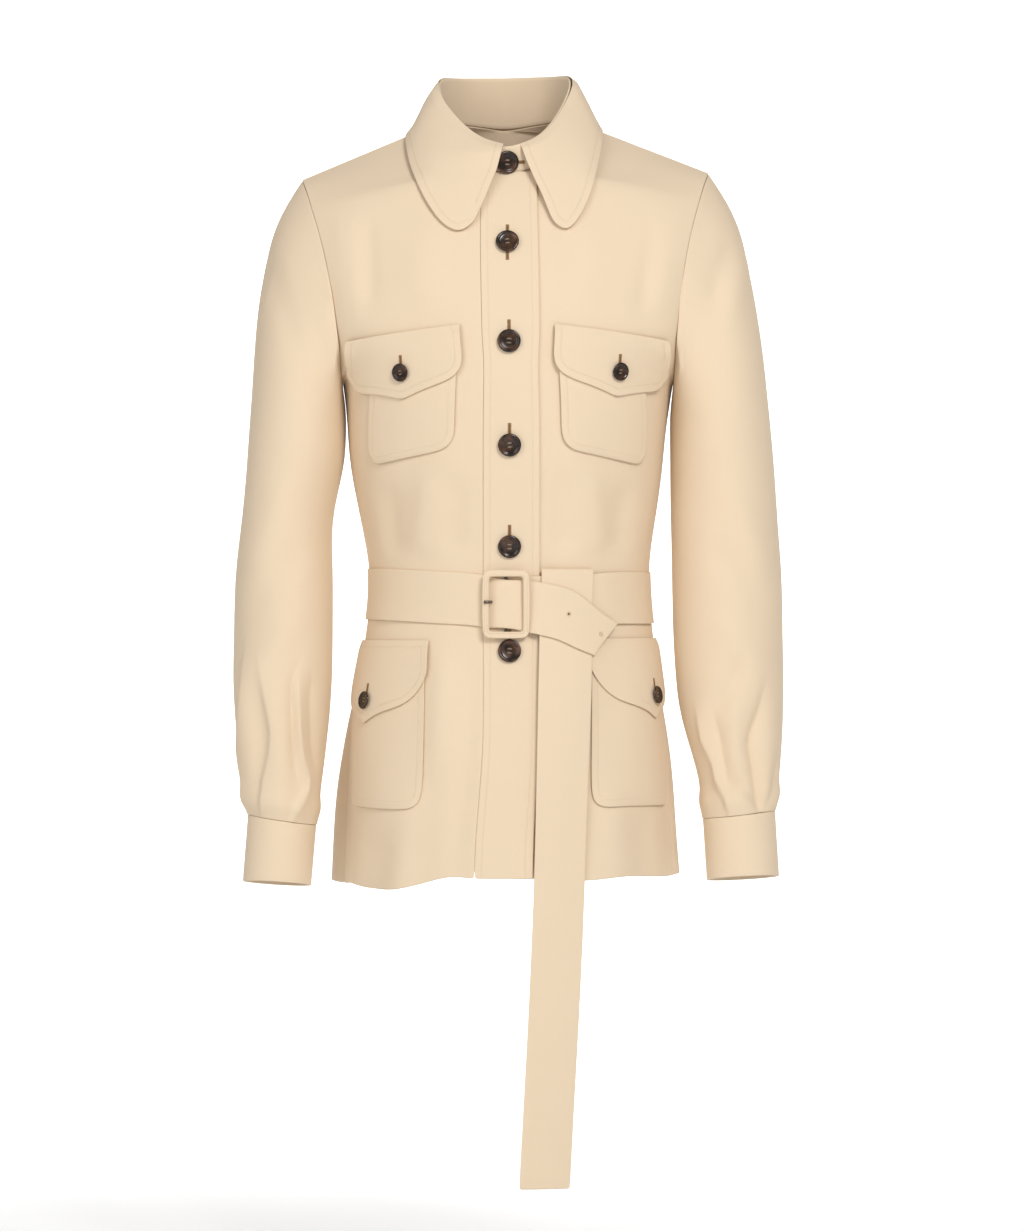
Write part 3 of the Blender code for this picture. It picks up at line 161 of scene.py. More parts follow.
def coordinates(mesh):
    places = np.zeros(len(mesh.vertices) * 3)
    mesh.vertices.foreach_get("co", places)
    return places.reshape(-1, 3)


def set_coordinates(mesh, places):
    mesh.vertices.foreach_set("co", np.ascontiguousarray(places, dtype=float).ravel())
    mesh.update()


def quad_copy(node):
    """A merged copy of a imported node, with its triangles paired to quads."""
    shell = bmesh.new()
    shell.from_mesh(frame["nodes"][node].data)
    bmesh.ops.remove_doubles(shell, verts=shell.verts, dist=MERGE)
    bmesh.ops.join_triangles(shell, faces=shell.faces[:], angle_face_threshold=PAIR_ANGLE,
                             angle_shape_threshold=math.pi)
    shell.edges.index_update()
    shell.edges.ensure_lookup_table()
    return shell


def rim_edges(shell):
    """The sharp edges along the cloth's cut edge."""
    return [edge for edge in shell.edges if len(edge.link_faces) == 2 and edge.calc_face_angle() > RIM_ANGLE]


def rim_walls(shell):
    """The wall face beside each edge that runs along the cut edge, by the edge's index."""
    sharp = {edge.index for edge in rim_edges(shell)}

    def on_rim(face):
        marks = [edge.index in sharp for edge in face.edges]
        return len(marks) == 4 and (marks[0] and marks[2] or marks[1] and marks[3])

    walls = {}
    for edge in shell.edges:
        if edge.index in sharp:
            sides = [face for face in edge.link_faces if not on_rim(face)]
            if len(sides) == 1:
                walls[edge.index] = sides[0]
    return walls


def keep_points(shell):
    """Crease the points of the cut edge, so that a pointed flap stays pointed."""
    walls = rim_walls(shell)
    crease = shell.verts.layers.float.new("crease_vert")
    for vert in shell.verts:
        ways = [edge.other_vert(vert).co - vert.co for edge in vert.link_edges if edge.index in walls]
        if len(ways) == 2 and math.pi - ways[0].angle(ways[1]) > POINT_TURN:
            vert[crease] = POINT_CREASE


def rounded(name, shell, levels, rim_crease=0.0):
    """A mesh in work with its rim creased, subdivided and made a plain object."""
    crease = shell.edges.layers.float.new("crease_edge")
    for edge in rim_edges(shell):
        edge[crease] = rim_crease
    made = shell_object(name, shell)
    rounding = made.modifiers.new("Rounding", "SUBSURF")
    rounding.levels = levels
    rounding.render_levels = levels
    plain_mesh(made)
    made.data.shade_smooth()
    return made


def fine_cloth(node, levels):
    """A subdivided copy of a cloth shell as a new piece, with its cut edge kept crisp."""
    shell = quad_copy(node)
    if "flap" in node:
        keep_points(shell)
    return rounded(node + "_cloth", shell, levels, RIM_CREASE)


def dress(made, material):
    made.data.materials.clear()
    made.data.materials.append(material)


def hand_in(made, slot, *nodes):
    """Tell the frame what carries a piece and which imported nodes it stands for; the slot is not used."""
    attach(made, "root")
    if nodes:
        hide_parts(*nodes)


print("rim crease:", RIM_CREASE)


# %% [markdown]
# ## Which way is out
# A fold moves both sides of the cloth together, so every point needs one direction that is the same for
# the outer and the inner wall. On the body that is straight out from an oval trunk, on a sleeve straight
# out from the middle of the arm.

# %% Directions
TRUNK_HALF = (0.150, 0.112)
ARM_LINE = {             # height, middle across and middle in depth, in millimetres
    -1: ((-60, 178, 0), (-277, 200, 4), (-361, 209, 5), (-460, 213, -1), (-564, 214, -13), (-650, 214, -24),
         (-710, 218, -31)),
    1: ((-60, 178, 0), (-277, 202, 4), (-361, 206, 5), (-460, 209, -1), (-564, 212, -13), (-645, 218, -24),
        (-705, 222, -31)),
}


def trunk_out(points):
    away = points / (TRUNK_HALF[0] ** 2, TRUNK_HALF[1] ** 2, 1.0)
    away[:, 2] = 0
    return unit(away)


def arm_middle(points, side):
    line = np.array(ARM_LINE[side], float) * MM
    height = -points[:, 2]
    across = side * np.interp(height, -line[:, 0], line[:, 1])
    deep = np.interp(height, -line[:, 0], line[:, 2])
    return np.stack((across, deep, points[:, 2]), axis=1)


def arm_out(points, side):
    return unit(points - arm_middle(points, side))


print("arm lines:", {side: len(line) for side, line in ARM_LINE.items()})


# %% [markdown]
# ## Folds
# Soft wool falls in long shallow folds. Each one is drawn as a line across the front view, with a
# width and a height: above zero it is a ridge, below zero a trough. Its side section is a bell curve and
# its ends run out softly. A second table does the same for the back, where the same cloth hangs from the
# same seams. A cloth simulation would find folds of its own, but not the ones that this jacket has.
# The belt holds the waist still, and the folds run out before the armholes.

# %% Fold lines
TRUNK_FRONT_FOLDS = (    # half width, out, then x and z of each point of the line; all in millimetres
    (13, -4.2, 155, -60, 140, -120, 124, -190),
    (10, 2.8, 172, -95, 160, -140, 148, -190),
    (13, -3.8, -141, -62, -137, -120, -130, -185),
    (10, 2.6, -158, -100, -152, -150, -146, -205),
    (22, 2.8, -70, -60, -78, -120, -84, -180),
    (22, 2.4, 62, -70, 72, -120, 80, -170),
    (12, -3.2, -48, -318, -50, -360, -52, -412),
    (12, 3.0, -74, -315, -80, -360, -84, -412),
    (11, -3.0, -112, -325, -110, -365, -106, -412),
    (12, -3.2, 48, -315, 52, -360, 55, -412),
    (11, 2.8, 78, -315, 82, -360, 84, -412),
    (11, -3.0, 110, -325, 107, -365, 104, -412),
    (13, 3.2, -58, -470, -62, -530, -66, -620),
    (11, -3.0, -38, -480, -38, -580, -42, -740),
    (18, 3.4, -86, -600, -90, -660, -94, -745),
    (17, -3.8, -116, -640, -124, -690, -132, -750),
    (18, 3.0, 92, -600, 97, -660, 102, -745),
    (16, -3.4, 124, -620, 130, -680, 136, -745),
)
TRUNK_BACK_FOLDS = (
    (22, -2.4, -60, -40, -96, -170),
    (22, -2.4, 64, -40, 100, -170),
    (13, -2.6, -38, -310, -44, -410),
    (13, 2.4, -78, -300, -74, -410),
    (12, -2.0, -110, -320, -104, -410),
    (12, 2.0, 8, -300, 4, -410),
    (13, -2.4, 46, -310, 50, -410),
    (13, 2.4, 84, -300, 78, -410),
    (12, -2.0, 112, -325, 106, -410),
    (15, 2.6, -56, -480, -66, -640),
    (15, -2.2, -16, -480, -20, -680),
    (15, 2.4, 26, -480, 28, -650),
    (16, -2.4, 72, -480, 82, -660),
    (17, -2.2, -104, -500, -118, -740),
    (17, 2.2, 112, -500, 124, -740),
)
FOLD_ENDS = (0.0, 0.32, 0.68, 1.0)      # shares of a line along which it rises and runs out
CRISP_WIDTH = 8         # folds narrower than this are pressed to a line
CRISP_POWER = 1.3
SOFT_POWER = 2.0
BELT_HOLD = ((-0.498, -0.472), (-0.410, -0.390))     # heights where the belt starts and stops holding
YOKE_HOLD = (-0.11, -0.06)              # heights over which the folds end at the shoulder
SIDE_HOLD = (0.25, 0.65)                # how far the cloth faces front or back where the folds begin
ARMHOLE_HOLD = ((-0.30, -0.24), (0.125, 0.150))      # heights, and distances from the middle
SWAY = 8.0 * MM         # how far the button band swings aside at the hem
SWAY_MIDDLE = -0.025
SWAY_SPREAD = (0.03, 0.11)
SWAY_RUN = (0.56, 0.70)
HEM_WAVES = ((-108, 40, 8.5), (-46, 18, -2.5), (70, 24, 2.0), (112, 22, -1.5))    # middle, half width, drop
HEM_RUN = (0.60, 0.70)
UNEVEN = 1.1 * MM
UNEVEN_WAVES = ((31, 17, 23, 0.3), (-19, 37, 29, 1.7), (43, -11, 13, 4.1), (11, 29, -47, 2.6))


def fold_height(points, table):
    """How far each point is pushed by a table of folds, seen from the front."""
    flat = points[:, (0, 2)] / MM
    push = np.zeros(len(points))
    for width, out, *line in table:
        corners = np.array(line, float).reshape(-1, 2)
        lengths = np.linalg.norm(np.diff(corners, axis=0), axis=1)
        along = np.concatenate(([0], np.cumsum(lengths)))
        nearest = np.full(len(flat), np.inf)
        run = np.zeros(len(flat))
        reach = np.zeros(len(flat))
        before_line, past_line = width if isinstance(width, tuple) else (width, width)
        for start, end, length, before in zip(corners[:-1], corners[1:], lengths, along):
            share = np.clip((flat - start) @ (end - start) / length ** 2, 0, 1)
            gap = np.linalg.norm(flat - start - share[:, None] * (end - start), axis=1)
            closer = gap < nearest
            nearest[closer] = gap[closer]
            beside = (end - start)[0] * (flat - start)[:, 1] - (end - start)[1] * (flat - start)[:, 0]
            reach[closer] = np.where(beside > 0, past_line, before_line)[closer]
            run[closer] = (before + share[closer] * length) / along[-1]
        ends = ease(run, *FOLD_ENDS[:2]) * (1 - ease(run, *FOLD_ENDS[2:]))
        power = np.where(reach < CRISP_WIDTH, CRISP_POWER, SOFT_POWER)
        push += out * ends * np.exp(-(nearest / reach) ** power)
    return push * MM


def unevenness(points, size):
    """A slow waviness that no ironed cloth is free of, from a few crossing waves."""
    total = sum(np.sin(points @ np.array(wave[:3]) + wave[3]) for wave in UNEVEN_WAVES)
    return size * total / len(UNEVEN_WAVES)


def folded(points, out, hold, front_table, back_table, uneven):
    """The push of the folds in front and behind, and the cloth's own waviness."""
    push = ease(-out[:, 1], *hold) * fold_height(points, front_table)
    push += ease(out[:, 1], *hold) * fold_height(points, back_table)
    return push + unevenness(points, uneven)


def trunk_push(points):
    """Where the cloth of the body goes: the same move for a panel and for what lies on it."""
    out = trunk_out(points)
    push = folded(points, out, SIDE_HOLD, TRUNK_FRONT_FOLDS, TRUNK_BACK_FOLDS, UNEVEN)
    front = ease(-out[:, 1], *SIDE_HOLD)
    high = points[:, 2]
    free = 1 - ease(high, *BELT_HOLD[0]) * (1 - ease(high, *BELT_HOLD[1]))
    free *= 1 - ease(high, *YOKE_HOLD)
    free *= 1 - ease(high, *ARMHOLE_HOLD[0]) * ease(np.abs(points[:, 0]), *ARMHOLE_HOLD[1])
    moved = points + (push * free)[:, None] * out
    across = points[:, 0]
    low = front * ease(-high, *SWAY_RUN)
    moved[:, 0] -= SWAY * low * (1 - ease(np.abs(across - SWAY_MIDDLE), *SWAY_SPREAD))
    for middle, width, drop in HEM_WAVES:
        wave = np.exp(-((across / MM - middle) / width) ** 2)
        moved[:, 2] -= drop * MM * wave * front * ease(-high, *HEM_RUN)
    return moved


print("folds on the body:", len(TRUNK_FRONT_FOLDS) + len(TRUNK_BACK_FOLDS))


# %% [markdown]
# Sleeves bend at the elbow, so their folds slant across the arm there. Above the cuff the width of the
# sleeve is gathered in: a few deep folds run up from the seam, and the cloth puffs out a little over it.
# Where cloth is folded over itself the fold has two widths, steep on one side of its line and long on
# the other.

# %% Sleeve folds
ARM_FRONT_FOLDS = {      # as above, on the front of each sleeve
    -1: (
        (12, -2.2, -236, -100, -214, -160, -194, -225),
        (16, 2.6, -200, -320, -225, -375, -250, -430),
        (13, -2.6, -184, -385, -220, -425, -256, -462),
        (14, 2.4, -188, -445, -222, -490, -250, -530),
        ((2, 14), 5.6, -246, -470, -250, -527, -252, -555, -252, -585, -248, -615, -246, -641, -245, -690),
        ((3, 18), 4.4, -236, -480, -230, -525, -224, -555, -222, -570, -224, -590, -229, -612, -231, -645,
         -231, -690),
        (9, -2.4, -245, -500, -238, -540, -232, -575, -236, -612, -238, -690),
        (9, 1.6, -212, -520, -209, -603, -213, -690),
        ((2, 6), 5.4, -196, -505, -197, -531, -197, -564, -194, -592, -189, -611, -190, -622, -201, -643,
         -212, -690),
        ((6, 2), -4.4, -190, -490, -200, -510, -203, -527, -202, -564, -199, -604, -196, -625),
        (7, -4.0, -184, -500, -185, -536, -184, -574, -179, -615),
    ),
    1: (
        (11, -3.0, 214, -90, 202, -130, 186, -175),
        (10, 2.2, 230, -95, 218, -145, 205, -195),
        (16, 2.4, 200, -320, 225, -375, 250, -430),
        (13, -2.6, 186, -385, 222, -428, 256, -465),
        (14, 2.2, 190, -450, 222, -492, 250, -530),
        (9, -3.0, 224, -490, 205, -528, 186, -556),
        (8, 2.0, 214, -525, 212, -575, 215, -620),
        ((5, 7), -6.4, 246, -505, 238, -545, 229, -568, 227, -580, 231, -600, 236, -635, 238, -690),
        (9, 2.4, 250, -540, 246, -593, 249, -690),
        ((2.5, 7), 5.6, 174, -535, 180, -561, 184, -577, 193, -596, 197, -615, 205, -628, 214, -670),
        (6, -3.4, 188, -535, 197, -568, 201, -590, 205, -612, 214, -640),
        ((2.5, 7), -4.2, 200, -616, 208, -620, 219, -620, 229, -628, 240, -640),
        (4, -4.0, 259, -580, 254, -602, 249, -619, 240, -650),
    ),
}
ARM_BACK_FOLDS = {
    -1: ((15, -2.2, -190, -300, -246, -350), (14, 2.4, -186, -350, -250, -390),
         (13, -2.6, -190, -410, -252, -430), (7, -3.4, -232, -510, -228, -690),
         (8, 2.4, -215, -500, -213, -690), (6, -3.4, -200, -520, -198, -690)),
    1: ((15, -2.2, 190, -300, 246, -350), (14, 2.4, 186, -350, 250, -392),
        (13, -2.6, 190, -412, 252, -430), (7, -3.4, 236, -510, 232, -690),
        (8, 2.4, 217, -500, 219, -690), (6, -3.4, 202, -520, 204, -690)),
}
CUFF_SEAM = {            # height of the seam at the middle of the arm, and its rise towards the outer side
    -1: (-0.650, 0.155),
    1: (-0.645, 0.110),
}
SEAM_HOLD = (0.0, 0.012)
SEAM_GRIP = 0.6
ARM_SIDE_HOLD = (0.05, 0.40)
PUFF = (0.015, 0.010, 2.4 * MM)     # height over the seam, half height, out
ARM_HOLD_HIGH = (-0.12, -0.07)
INNER_ARM = (0.55, 0.9)
INNER_ARM_TOP = (-0.36, -0.28)
ARM_UNEVEN = 1.0 * MM


def arm_push(points, side):
    out = arm_out(points, side)
    push = folded(points, out, ARM_SIDE_HOLD, ARM_FRONT_FOLDS[side], ARM_BACK_FOLDS[side], ARM_UNEVEN)
    level, rise = CUFF_SEAM[side]
    over = points[:, 2] - level - rise * side * (points[:, 0] - arm_middle(points, side)[:, 0])
    push *= 1 - SEAM_GRIP * (1 - ease(over, *SEAM_HOLD))
    push += PUFF[2] * np.exp(-((over - PUFF[0]) / PUFF[1]) ** 2)
    free = 1 - ease(points[:, 2], *ARM_HOLD_HIGH)
    free *= 1 - ease(-side * out[:, 0], *INNER_ARM) * ease(points[:, 2], *INNER_ARM_TOP)
    return points + (push * free)[:, None] * out


def still(points):
    return points


print("folds on the sleeves:", sum(len(tables[side]) for tables in (ARM_FRONT_FOLDS, ARM_BACK_FOLDS)
                                    for side in ARM_LINE))


# %% [markdown]
# ## The grain of the cloth
# A weave follows the cloth, not the room, so every piece gets a UV map in metres: round the body, arm or
# neck one way, and down the other. Unwrapping would do it too, but this keeps the scale exact everywhere.

# %% Cloth coordinates
def corner_points(mesh):
    """The index of the point at every corner of every face."""
    corner = np.zeros(len(mesh.loops), dtype=np.int32)
    mesh.loops.foreach_get("vertex_index", corner)
    return corner


def keep_grain(mesh, chart):
    mesh.uv_layers.new(name="grain").uv.foreach_set("vector", chart.ravel())


def wrap_round(mesh, places, middle, half, turn):
    """UV in metres: the angle round a middle line, times a mean radius, and the height."""
    angle = np.arctan2((places[:, 0] - middle[:, 0]) / half[0] * turn,
                       -(places[:, 1] - middle[:, 1]) / half[1] * turn)
    corner = corner_points(mesh)
    around = angle[corner].reshape(-1, 4)
    split = np.ptp(around, axis=1) > math.pi
    around[split] = np.where(around[split] < 0, around[split] + 2 * math.pi, around[split])
    keep_grain(mesh, np.stack((around.ravel() * (half[0] + half[1]) / 2, places[corner, 2]), axis=1))


def wrap_flat(mesh):
    """UV in metres for a piece that faces the front."""
    keep_grain(mesh, coordinates(mesh)[corner_points(mesh)][:, (0, 2)])


def near_tree(spots):
    """Search tree over single points."""
    tree = KDTree(len(spots))
    for index, spot in enumerate(spots):
        tree.insert(spot, index)
    tree.balance()
    return tree


print("grain map: metres round and down")


# %% [markdown]
# ## The wool
# The cloth is a fine, matt, pale beige wool crepe. Close up it is a plain weave of slightly uneven yarns;
# from a step back it is smooth, with a faint bloom where light grazes it. An image of cloth would repeat
# and blur, so the weave is a node group that works at any distance. The dent along a row of stitches is a
# second group; it reads how far each point lies from the stitches and darkens the colour there as painted
# shade.

# %% Node helpers
def fill(tree, node, values):
    """Numbers, colours or links into a node's inputs; a node stands for its first output."""
    for label, value in values.items():
        if isinstance(value, bpy.types.Node):
            value = value.outputs[0]
        if isinstance(value, bpy.types.NodeSocket):
            tree.links.new(value, node.inputs[label])
        else:
            node.inputs[label].default_value = value


def add(tree, kind, values=None, **settings):
    """A new node with its own settings and its inputs filled."""
    node = tree.nodes.new(kind)
    for label, value in settings.items():
        setattr(node, label, value)
    fill(tree, node, values or {})
    return node


def new_tree(name, kind, inputs, outputs):
    """An empty node tree. An input has a type, or a number that is its default."""
    tree = bpy.data.node_groups.new(name, kind)
    for label, given in inputs.items():
        number = isinstance(given, float)
        word = "Float" if number else given
        socket = tree.interface.new_socket(label, in_out="INPUT", socket_type="NodeSocket" + word)
        if number:
            socket.default_value = given
    for label, given in outputs.items():
        tree.interface.new_socket(label, in_out="OUTPUT", socket_type="NodeSocket" + given)
    return tree, tree.nodes.new("NodeGroupInput").outputs, tree.nodes.new("NodeGroupOutput")


def calc(tree, operation, *values):
    return add(tree, "ShaderNodeMath", dict(enumerate(values)), operation=operation)


def new_material(name):
    made = bpy.data.materials.new(name)
    made.use_nodes = True
    return made, made.node_tree, made.node_tree.nodes["Principled BSDF"]


def noise(tree, scale, detail):
    """Cloudy noise in the piece's own coordinates."""
    place = add(tree, "ShaderNodeTexCoord").outputs["Object"]
    cloud = add(tree, "ShaderNodeTexNoise", {"Vector": place, "Scale": scale, "Detail": detail})
    return cloud.outputs["Fac"]


def mix_colours(tree, share, first, second):
    mix = add(tree, "ShaderNodeMix", {"Factor": share, "A": first, "B": second}, data_type="RGBA")
    return mix.outputs["Result"]


def finish(tree, shader, bump, values):
    """Fill a shader, with a bump given as height, distance and strength."""
    relief = add(tree, "ShaderNodeBump", dict(zip(("Height", "Distance", "Strength"), bump)))
    fill(tree, shader, {**values, "Normal": relief})


print("helpers for node trees are ready")


# %% Weave and stitch dent
YARNS_PER_METRE = 1700.0
YARN_STRETCHES = ((1.0, 0.06, 1.0), (0.06, 1.0, 1.0))     # noise drawn out along weft and warp
CROSSING_HEIGHT = 0.35


def make_weave_group():
    """Height and tone of a plain weave of uneven yarns, from UV in metres."""
    group, given, result = new_tree(
        "plain_weave", "ShaderNodeTree",
        {"Vector": "Vector", "Yarns per metre": YARNS_PER_METRE, "Unevenness": 0.5},
        {"Height": "Float", "Tone": "Float"})
    scaled = add(group, "ShaderNodeVectorMath", {0: given["Vector"], "Scale": given["Yarns per metre"]},
                 operation="SCALE")
    yarns = []
    for stretch in YARN_STRETCHES:
        drawn = add(group, "ShaderNodeMapping", {"Vector": scaled, "Scale": stretch})
        slub = add(group, "ShaderNodeTexNoise", {"Vector": drawn, "Scale": 1.0, "Detail": 2.0})
        yarns.append(slub.outputs["Fac"])
    both = calc(group, "MULTIPLY", calc(group, "ADD", *yarns), 0.5)
    uneven = calc(group, "MULTIPLY", calc(group, "SUBTRACT", both, 0.5), given["Unevenness"])
    parts = add(group, "ShaderNodeSeparateXYZ", {0: scaled}).outputs
    warp, weft = (calc(group, "SINE", calc(group, "MULTIPLY", parts[axis], math.pi)) for axis in "XY")
    crossing = calc(group, "MULTIPLY", warp, weft)
    height = calc(group, "MULTIPLY_ADD", crossing, CROSSING_HEIGHT, uneven)
    fill(group, result, {"Height": height, "Tone": both})
    return group


def make_dent_group():
    """Height of the groove that a row of stitches pulls into the cloth, and painted shade that darkens the
    colour along it.
    """
    group, given, result = new_tree("stitch_dent", "ShaderNodeTree", {"Depth": 1.0, "Sharpness": 1.5},
                                    {"Height": "Float", "Shade": "Float"})
    gap = add(group, "ShaderNodeAttribute", attribute_name="stitch_distance").outputs["Fac"]
    square = calc(group, "MULTIPLY", gap, gap)
    spread = calc(group, "MULTIPLY", calc(group, "MULTIPLY", square, given["Sharpness"]), -1.0)
    dent = calc(group, "MULTIPLY", calc(group, "EXPONENT", spread), given["Depth"])
    fill(group, result, {"Height": calc(group, "MULTIPLY", dent, -1.0), "Shade": dent})
    return group


WEAVE = make_weave_group()
STITCH_DENT = make_dent_group()
print("groups:", WEAVE.name, STITCH_DENT.name)


# %% The wool itself
WOOL = (0.800, 0.645, 0.465, 1.0)
WOOL_SHADE = (0.735, 0.574, 0.400, 1.0)
CLOUD_SCALE, CLOUD_DETAIL, CLOUD_SHARE = 9.0, 3.0, 0.30
YARN_SHARE = 0.45
TONE_SHIFT = 0.12
# how much the stitches' groove darkens the colour: painted shade
DENT_PAINTED_SHADE = 0.35
WEAVE_RELIEF = 0.10
WOOL_ROUGH = (0.10, 0.80)
WOOL_BUMP = (0.4 * MM, 0.6)
WOOL_SHEEN = {"Sheen Weight": 0.10, "Sheen Roughness": 0.5, "Sheen Tint": (1.0, 0.95, 0.88, 1.0),
              "Specular IOR Level": 0.2}


def make_wool(name, dent_depth):
    """Pale beige wool; the depth is how far a row of stitches pulls into this piece, and how much shade is
    painted along it.
    """
    wool, tree, shader = new_material(name)
    grain = add(tree, "ShaderNodeUVMap", uv_map="grain")
    weave = add(tree, "ShaderNodeGroup", {"Vector": grain}, node_tree=WEAVE).outputs
    yarn = calc(tree, "MULTIPLY", weave["Tone"], YARN_SHARE)
    tone = calc(tree, "MULTIPLY_ADD", noise(tree, CLOUD_SCALE, CLOUD_DETAIL), CLOUD_SHARE, yarn)
    shade = calc(tree, "SUBTRACT", tone, TONE_SHIFT)
    height = calc(tree, "MULTIPLY", weave["Height"], WEAVE_RELIEF)
    if dent_depth:
        dent = add(tree, "ShaderNodeGroup", {"Depth": dent_depth}, node_tree=STITCH_DENT).outputs
        # painted shade: the colour darkens along the stitches, where their groove lies in shade
        shade = calc(tree, "MULTIPLY_ADD", dent["Shade"], DENT_PAINTED_SHADE, shade)
        height = calc(tree, "ADD", height, dent["Height"])
    finish(tree, shader, (height, *WOOL_BUMP), {
        "Base Color": mix_colours(tree, shade, WOOL, WOOL_SHADE),
        "Roughness": calc(tree, "MULTIPLY_ADD", weave["Tone"], *WOOL_ROUGH), **WOOL_SHEEN})
    return wool


WOOL_PLAIN = make_wool("pale_wool", 0.0)
WOOL_STITCHED = make_wool("pale_wool_stitched", 1.0)
print("wool finishes:", WOOL_PLAIN.name, WOOL_STITCHED.name)


# %% [markdown]
# ## Where the stitches run
# Collar, placket, pockets and flaps are topstitched at the width of a presser foot from the edge. The line
# could be drawn by hand on each piece; here it is found from the piece itself. The cut edge of the packed
# shell is walked as a loop, split into sides at its corners, and moved inwards by the seam's distance. Each
# point is then dropped onto the finished, folded cloth.

# %% Cut edges as loops
CORNER_TURN = math.radians(45)
LINE_STEP = 0.7 * MM
COLLAR_MIDDLE = np.array((0.0, 0.0, -0.03))


def edge_sides(node, away):
    """The sides of a shell's outer cut edge: start, end, inward direction and wall normal of each edge."""
    shell = quad_copy(node)
    shell.normal_update()
    walls = rim_walls(shell)
    outer = []
    while walls:
        edge = shell.edges[min(walls)]
        vert = edge.verts[0]
        loop = []
        while edge is not None:
            wall = walls.pop(edge.index)
            after = edge.other_vert(vert)
            start, end = np.array(vert.co), np.array(after.co)
            heading = unit(end - start)
            inward = np.array(wall.calc_center_median()) - (start + end) / 2
            inward = unit(inward - (inward @ heading) * heading)
            loop.append((start, end, inward, np.array(wall.normal)))
            vert = after
            edge = next((other for other in vert.link_edges if other.index in walls), None)
        facing = sum(normal @ away((start + end) / 2) for start, end, _, normal in loop)
        if facing > 0:
            outer += split_at_corners(loop)
    shell.free()
    return outer


def split_at_corners(loop):
    """A closed loop of edges cut into sides where it turns sharply."""
    headings = [unit(end - start) for start, end, _, _ in loop]
    corners = [index for index in range(len(loop))
               if headings[index - 1] @ headings[index] < math.cos(CORNER_TURN)]
    if not corners:
        return [loop]
    turned = loop[corners[0]:] + loop[:corners[0]]
    cuts = [index - corners[0] for index in corners] + [len(loop)]
    return [turned[first:last] for first, last in zip(cuts[:-1], cuts[1:])]


def away_from_trunk(place):
    return place * (1, 1, 0)


def away_from_neck(place):
    return place - COLLAR_MIDDLE


print("corner turn: %.0f degrees" % math.degrees(CORNER_TURN))


# %% Lines on the finished cloth
SMOOTH_ROUNDS = 14
SHORTEST_ROW = 6         # points; a shorter piece of edge gets no stitches
DROP = 5 * MM
LONG_SHARE = 0.5
EDGE_KEEP = 0.985
SMOOTHING = 0.5


def side_length(side):
    return sum(np.linalg.norm(end - start) for start, end, _, _ in side)


def top_of(sides):
    return max(sides, key=lambda side: np.mean([start[2] for start, _, _, _ in side]))


def all_but_top(sides):
    return [side for side in sides if side is not top_of(sides)]


def long_sides(sides):
    longest = max(side_length(side) for side in sides)
    return [side for side in sides if side_length(side) > LONG_SHARE * longest]


def whole_edge(sides):
    return sides


def surface_of(made):
    return BVHTree.FromObject(made, bpy.context.evaluated_depsgraph_get())


def cast(tree, start, heading, *reach):
    """Where a ray meets a surface, and the surface's normal there."""
    spot, normal, _, _ = tree.ray_cast(Vector(start), Vector(heading), *reach)
    return None if spot is None else (np.array(spot), np.array(normal))


def stitch_lines(node, made, inset, choose, away, push):
    """Lines at a distance inside the chosen sides of a piece's edge, on the finished cloth."""
    sides = choose(edge_sides(node, away))
    dense = []
    for side in sides:
        rows = []
        for start, end, inward, normal in side:
            count = max(1, round(np.linalg.norm(end - start) / LINE_STEP))
            rows += [(start + (end - start) * step / count, inward, normal) for step in range(count)]
        dense.append(rows + [(side[-1][1], side[-1][2], side[-1][3])])
    edge_tree = near_tree([row[0] for rows in dense for row in rows])
    tree = surface_of(made)
    lines = []
    for rows in dense:
        moved = [(place + inset * inward, normal) for place, inward, normal in rows]
        kept = [row for row in moved if edge_tree.find(row[0])[2] > EDGE_KEEP * inset]
        if len(kept) < SHORTEST_ROW:
            continue
        places = np.array([row[0] for row in kept])
        for _ in range(SMOOTH_ROUNDS):
            places[1:-1] += SMOOTHING * ((places[:-2] + places[2:]) / 2 - places[1:-1])
        line = []
        for place, (_, normal) in zip(push(places), kept):
            hit = cast(tree, place + DROP * normal, -normal, 2 * DROP)
            if hit:
                line.append(hit)
        if len(line) >= SHORTEST_ROW:
            lines.append(line)
    return lines


def keep_stitch_distance(mesh, lines):
    """Distance of each point of a piece from its stitches, in millimetres."""
    tree = near_tree([spot for line in lines for spot, _ in line])
    gaps = [tree.find(place)[2] / MM for place in coordinates(mesh)]
    attribute = mesh.attributes.new("stitch_distance", "FLOAT", "POINT")
    attribute.data.foreach_set("value", np.array(gaps))


print("stitched rows have at least", SHORTEST_ROW, "points")


# %% [markdown]
# ## Body, sleeves and cuffs
# These are the large pieces. They share one recipe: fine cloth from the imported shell, pushed by the folds,
# with the grain kept. The flat cut of each is stated as a tailor would measure it before sewing: the
# rectangle that it is cut from and its area.

# %% Large pieces
PIECES = {}
STITCHES = []
ARM_HALF = (0.048, 0.055)
PLACKET_INSET = 6.2 * MM
STITCH_INSET = 6.6 * MM


def round_trunk(turn):
    return lambda places: (np.zeros((len(places), 2)), TRUNK_HALF, turn)


def round_arm(side):
    return lambda places: (arm_middle(places, side)[:, :2], ARM_HALF, 1)


def cloth_piece(node, levels, push, wrap, stitched=None):
    """One piece of cloth: folds, grain, stitches' dent, finish and the frame's bookkeeping."""
    made = fine_cloth(node, levels)
    mesh = made.data
    places = coordinates(mesh)
    wrap_round(mesh, places, *wrap(places))
    set_coordinates(mesh, push(places))
    dress(made, WOOL_STITCHED if stitched else WOOL_PLAIN)
    if stitched:
        lines = stitch_lines(node, made, *stitched, push)
        keep_stitch_distance(mesh, lines)
        print(node, "stitch rows:", [len(line) for line in lines])
        STITCHES.extend(lines)
    hand_in(made, "cloth", node)
    PIECES[node] = made


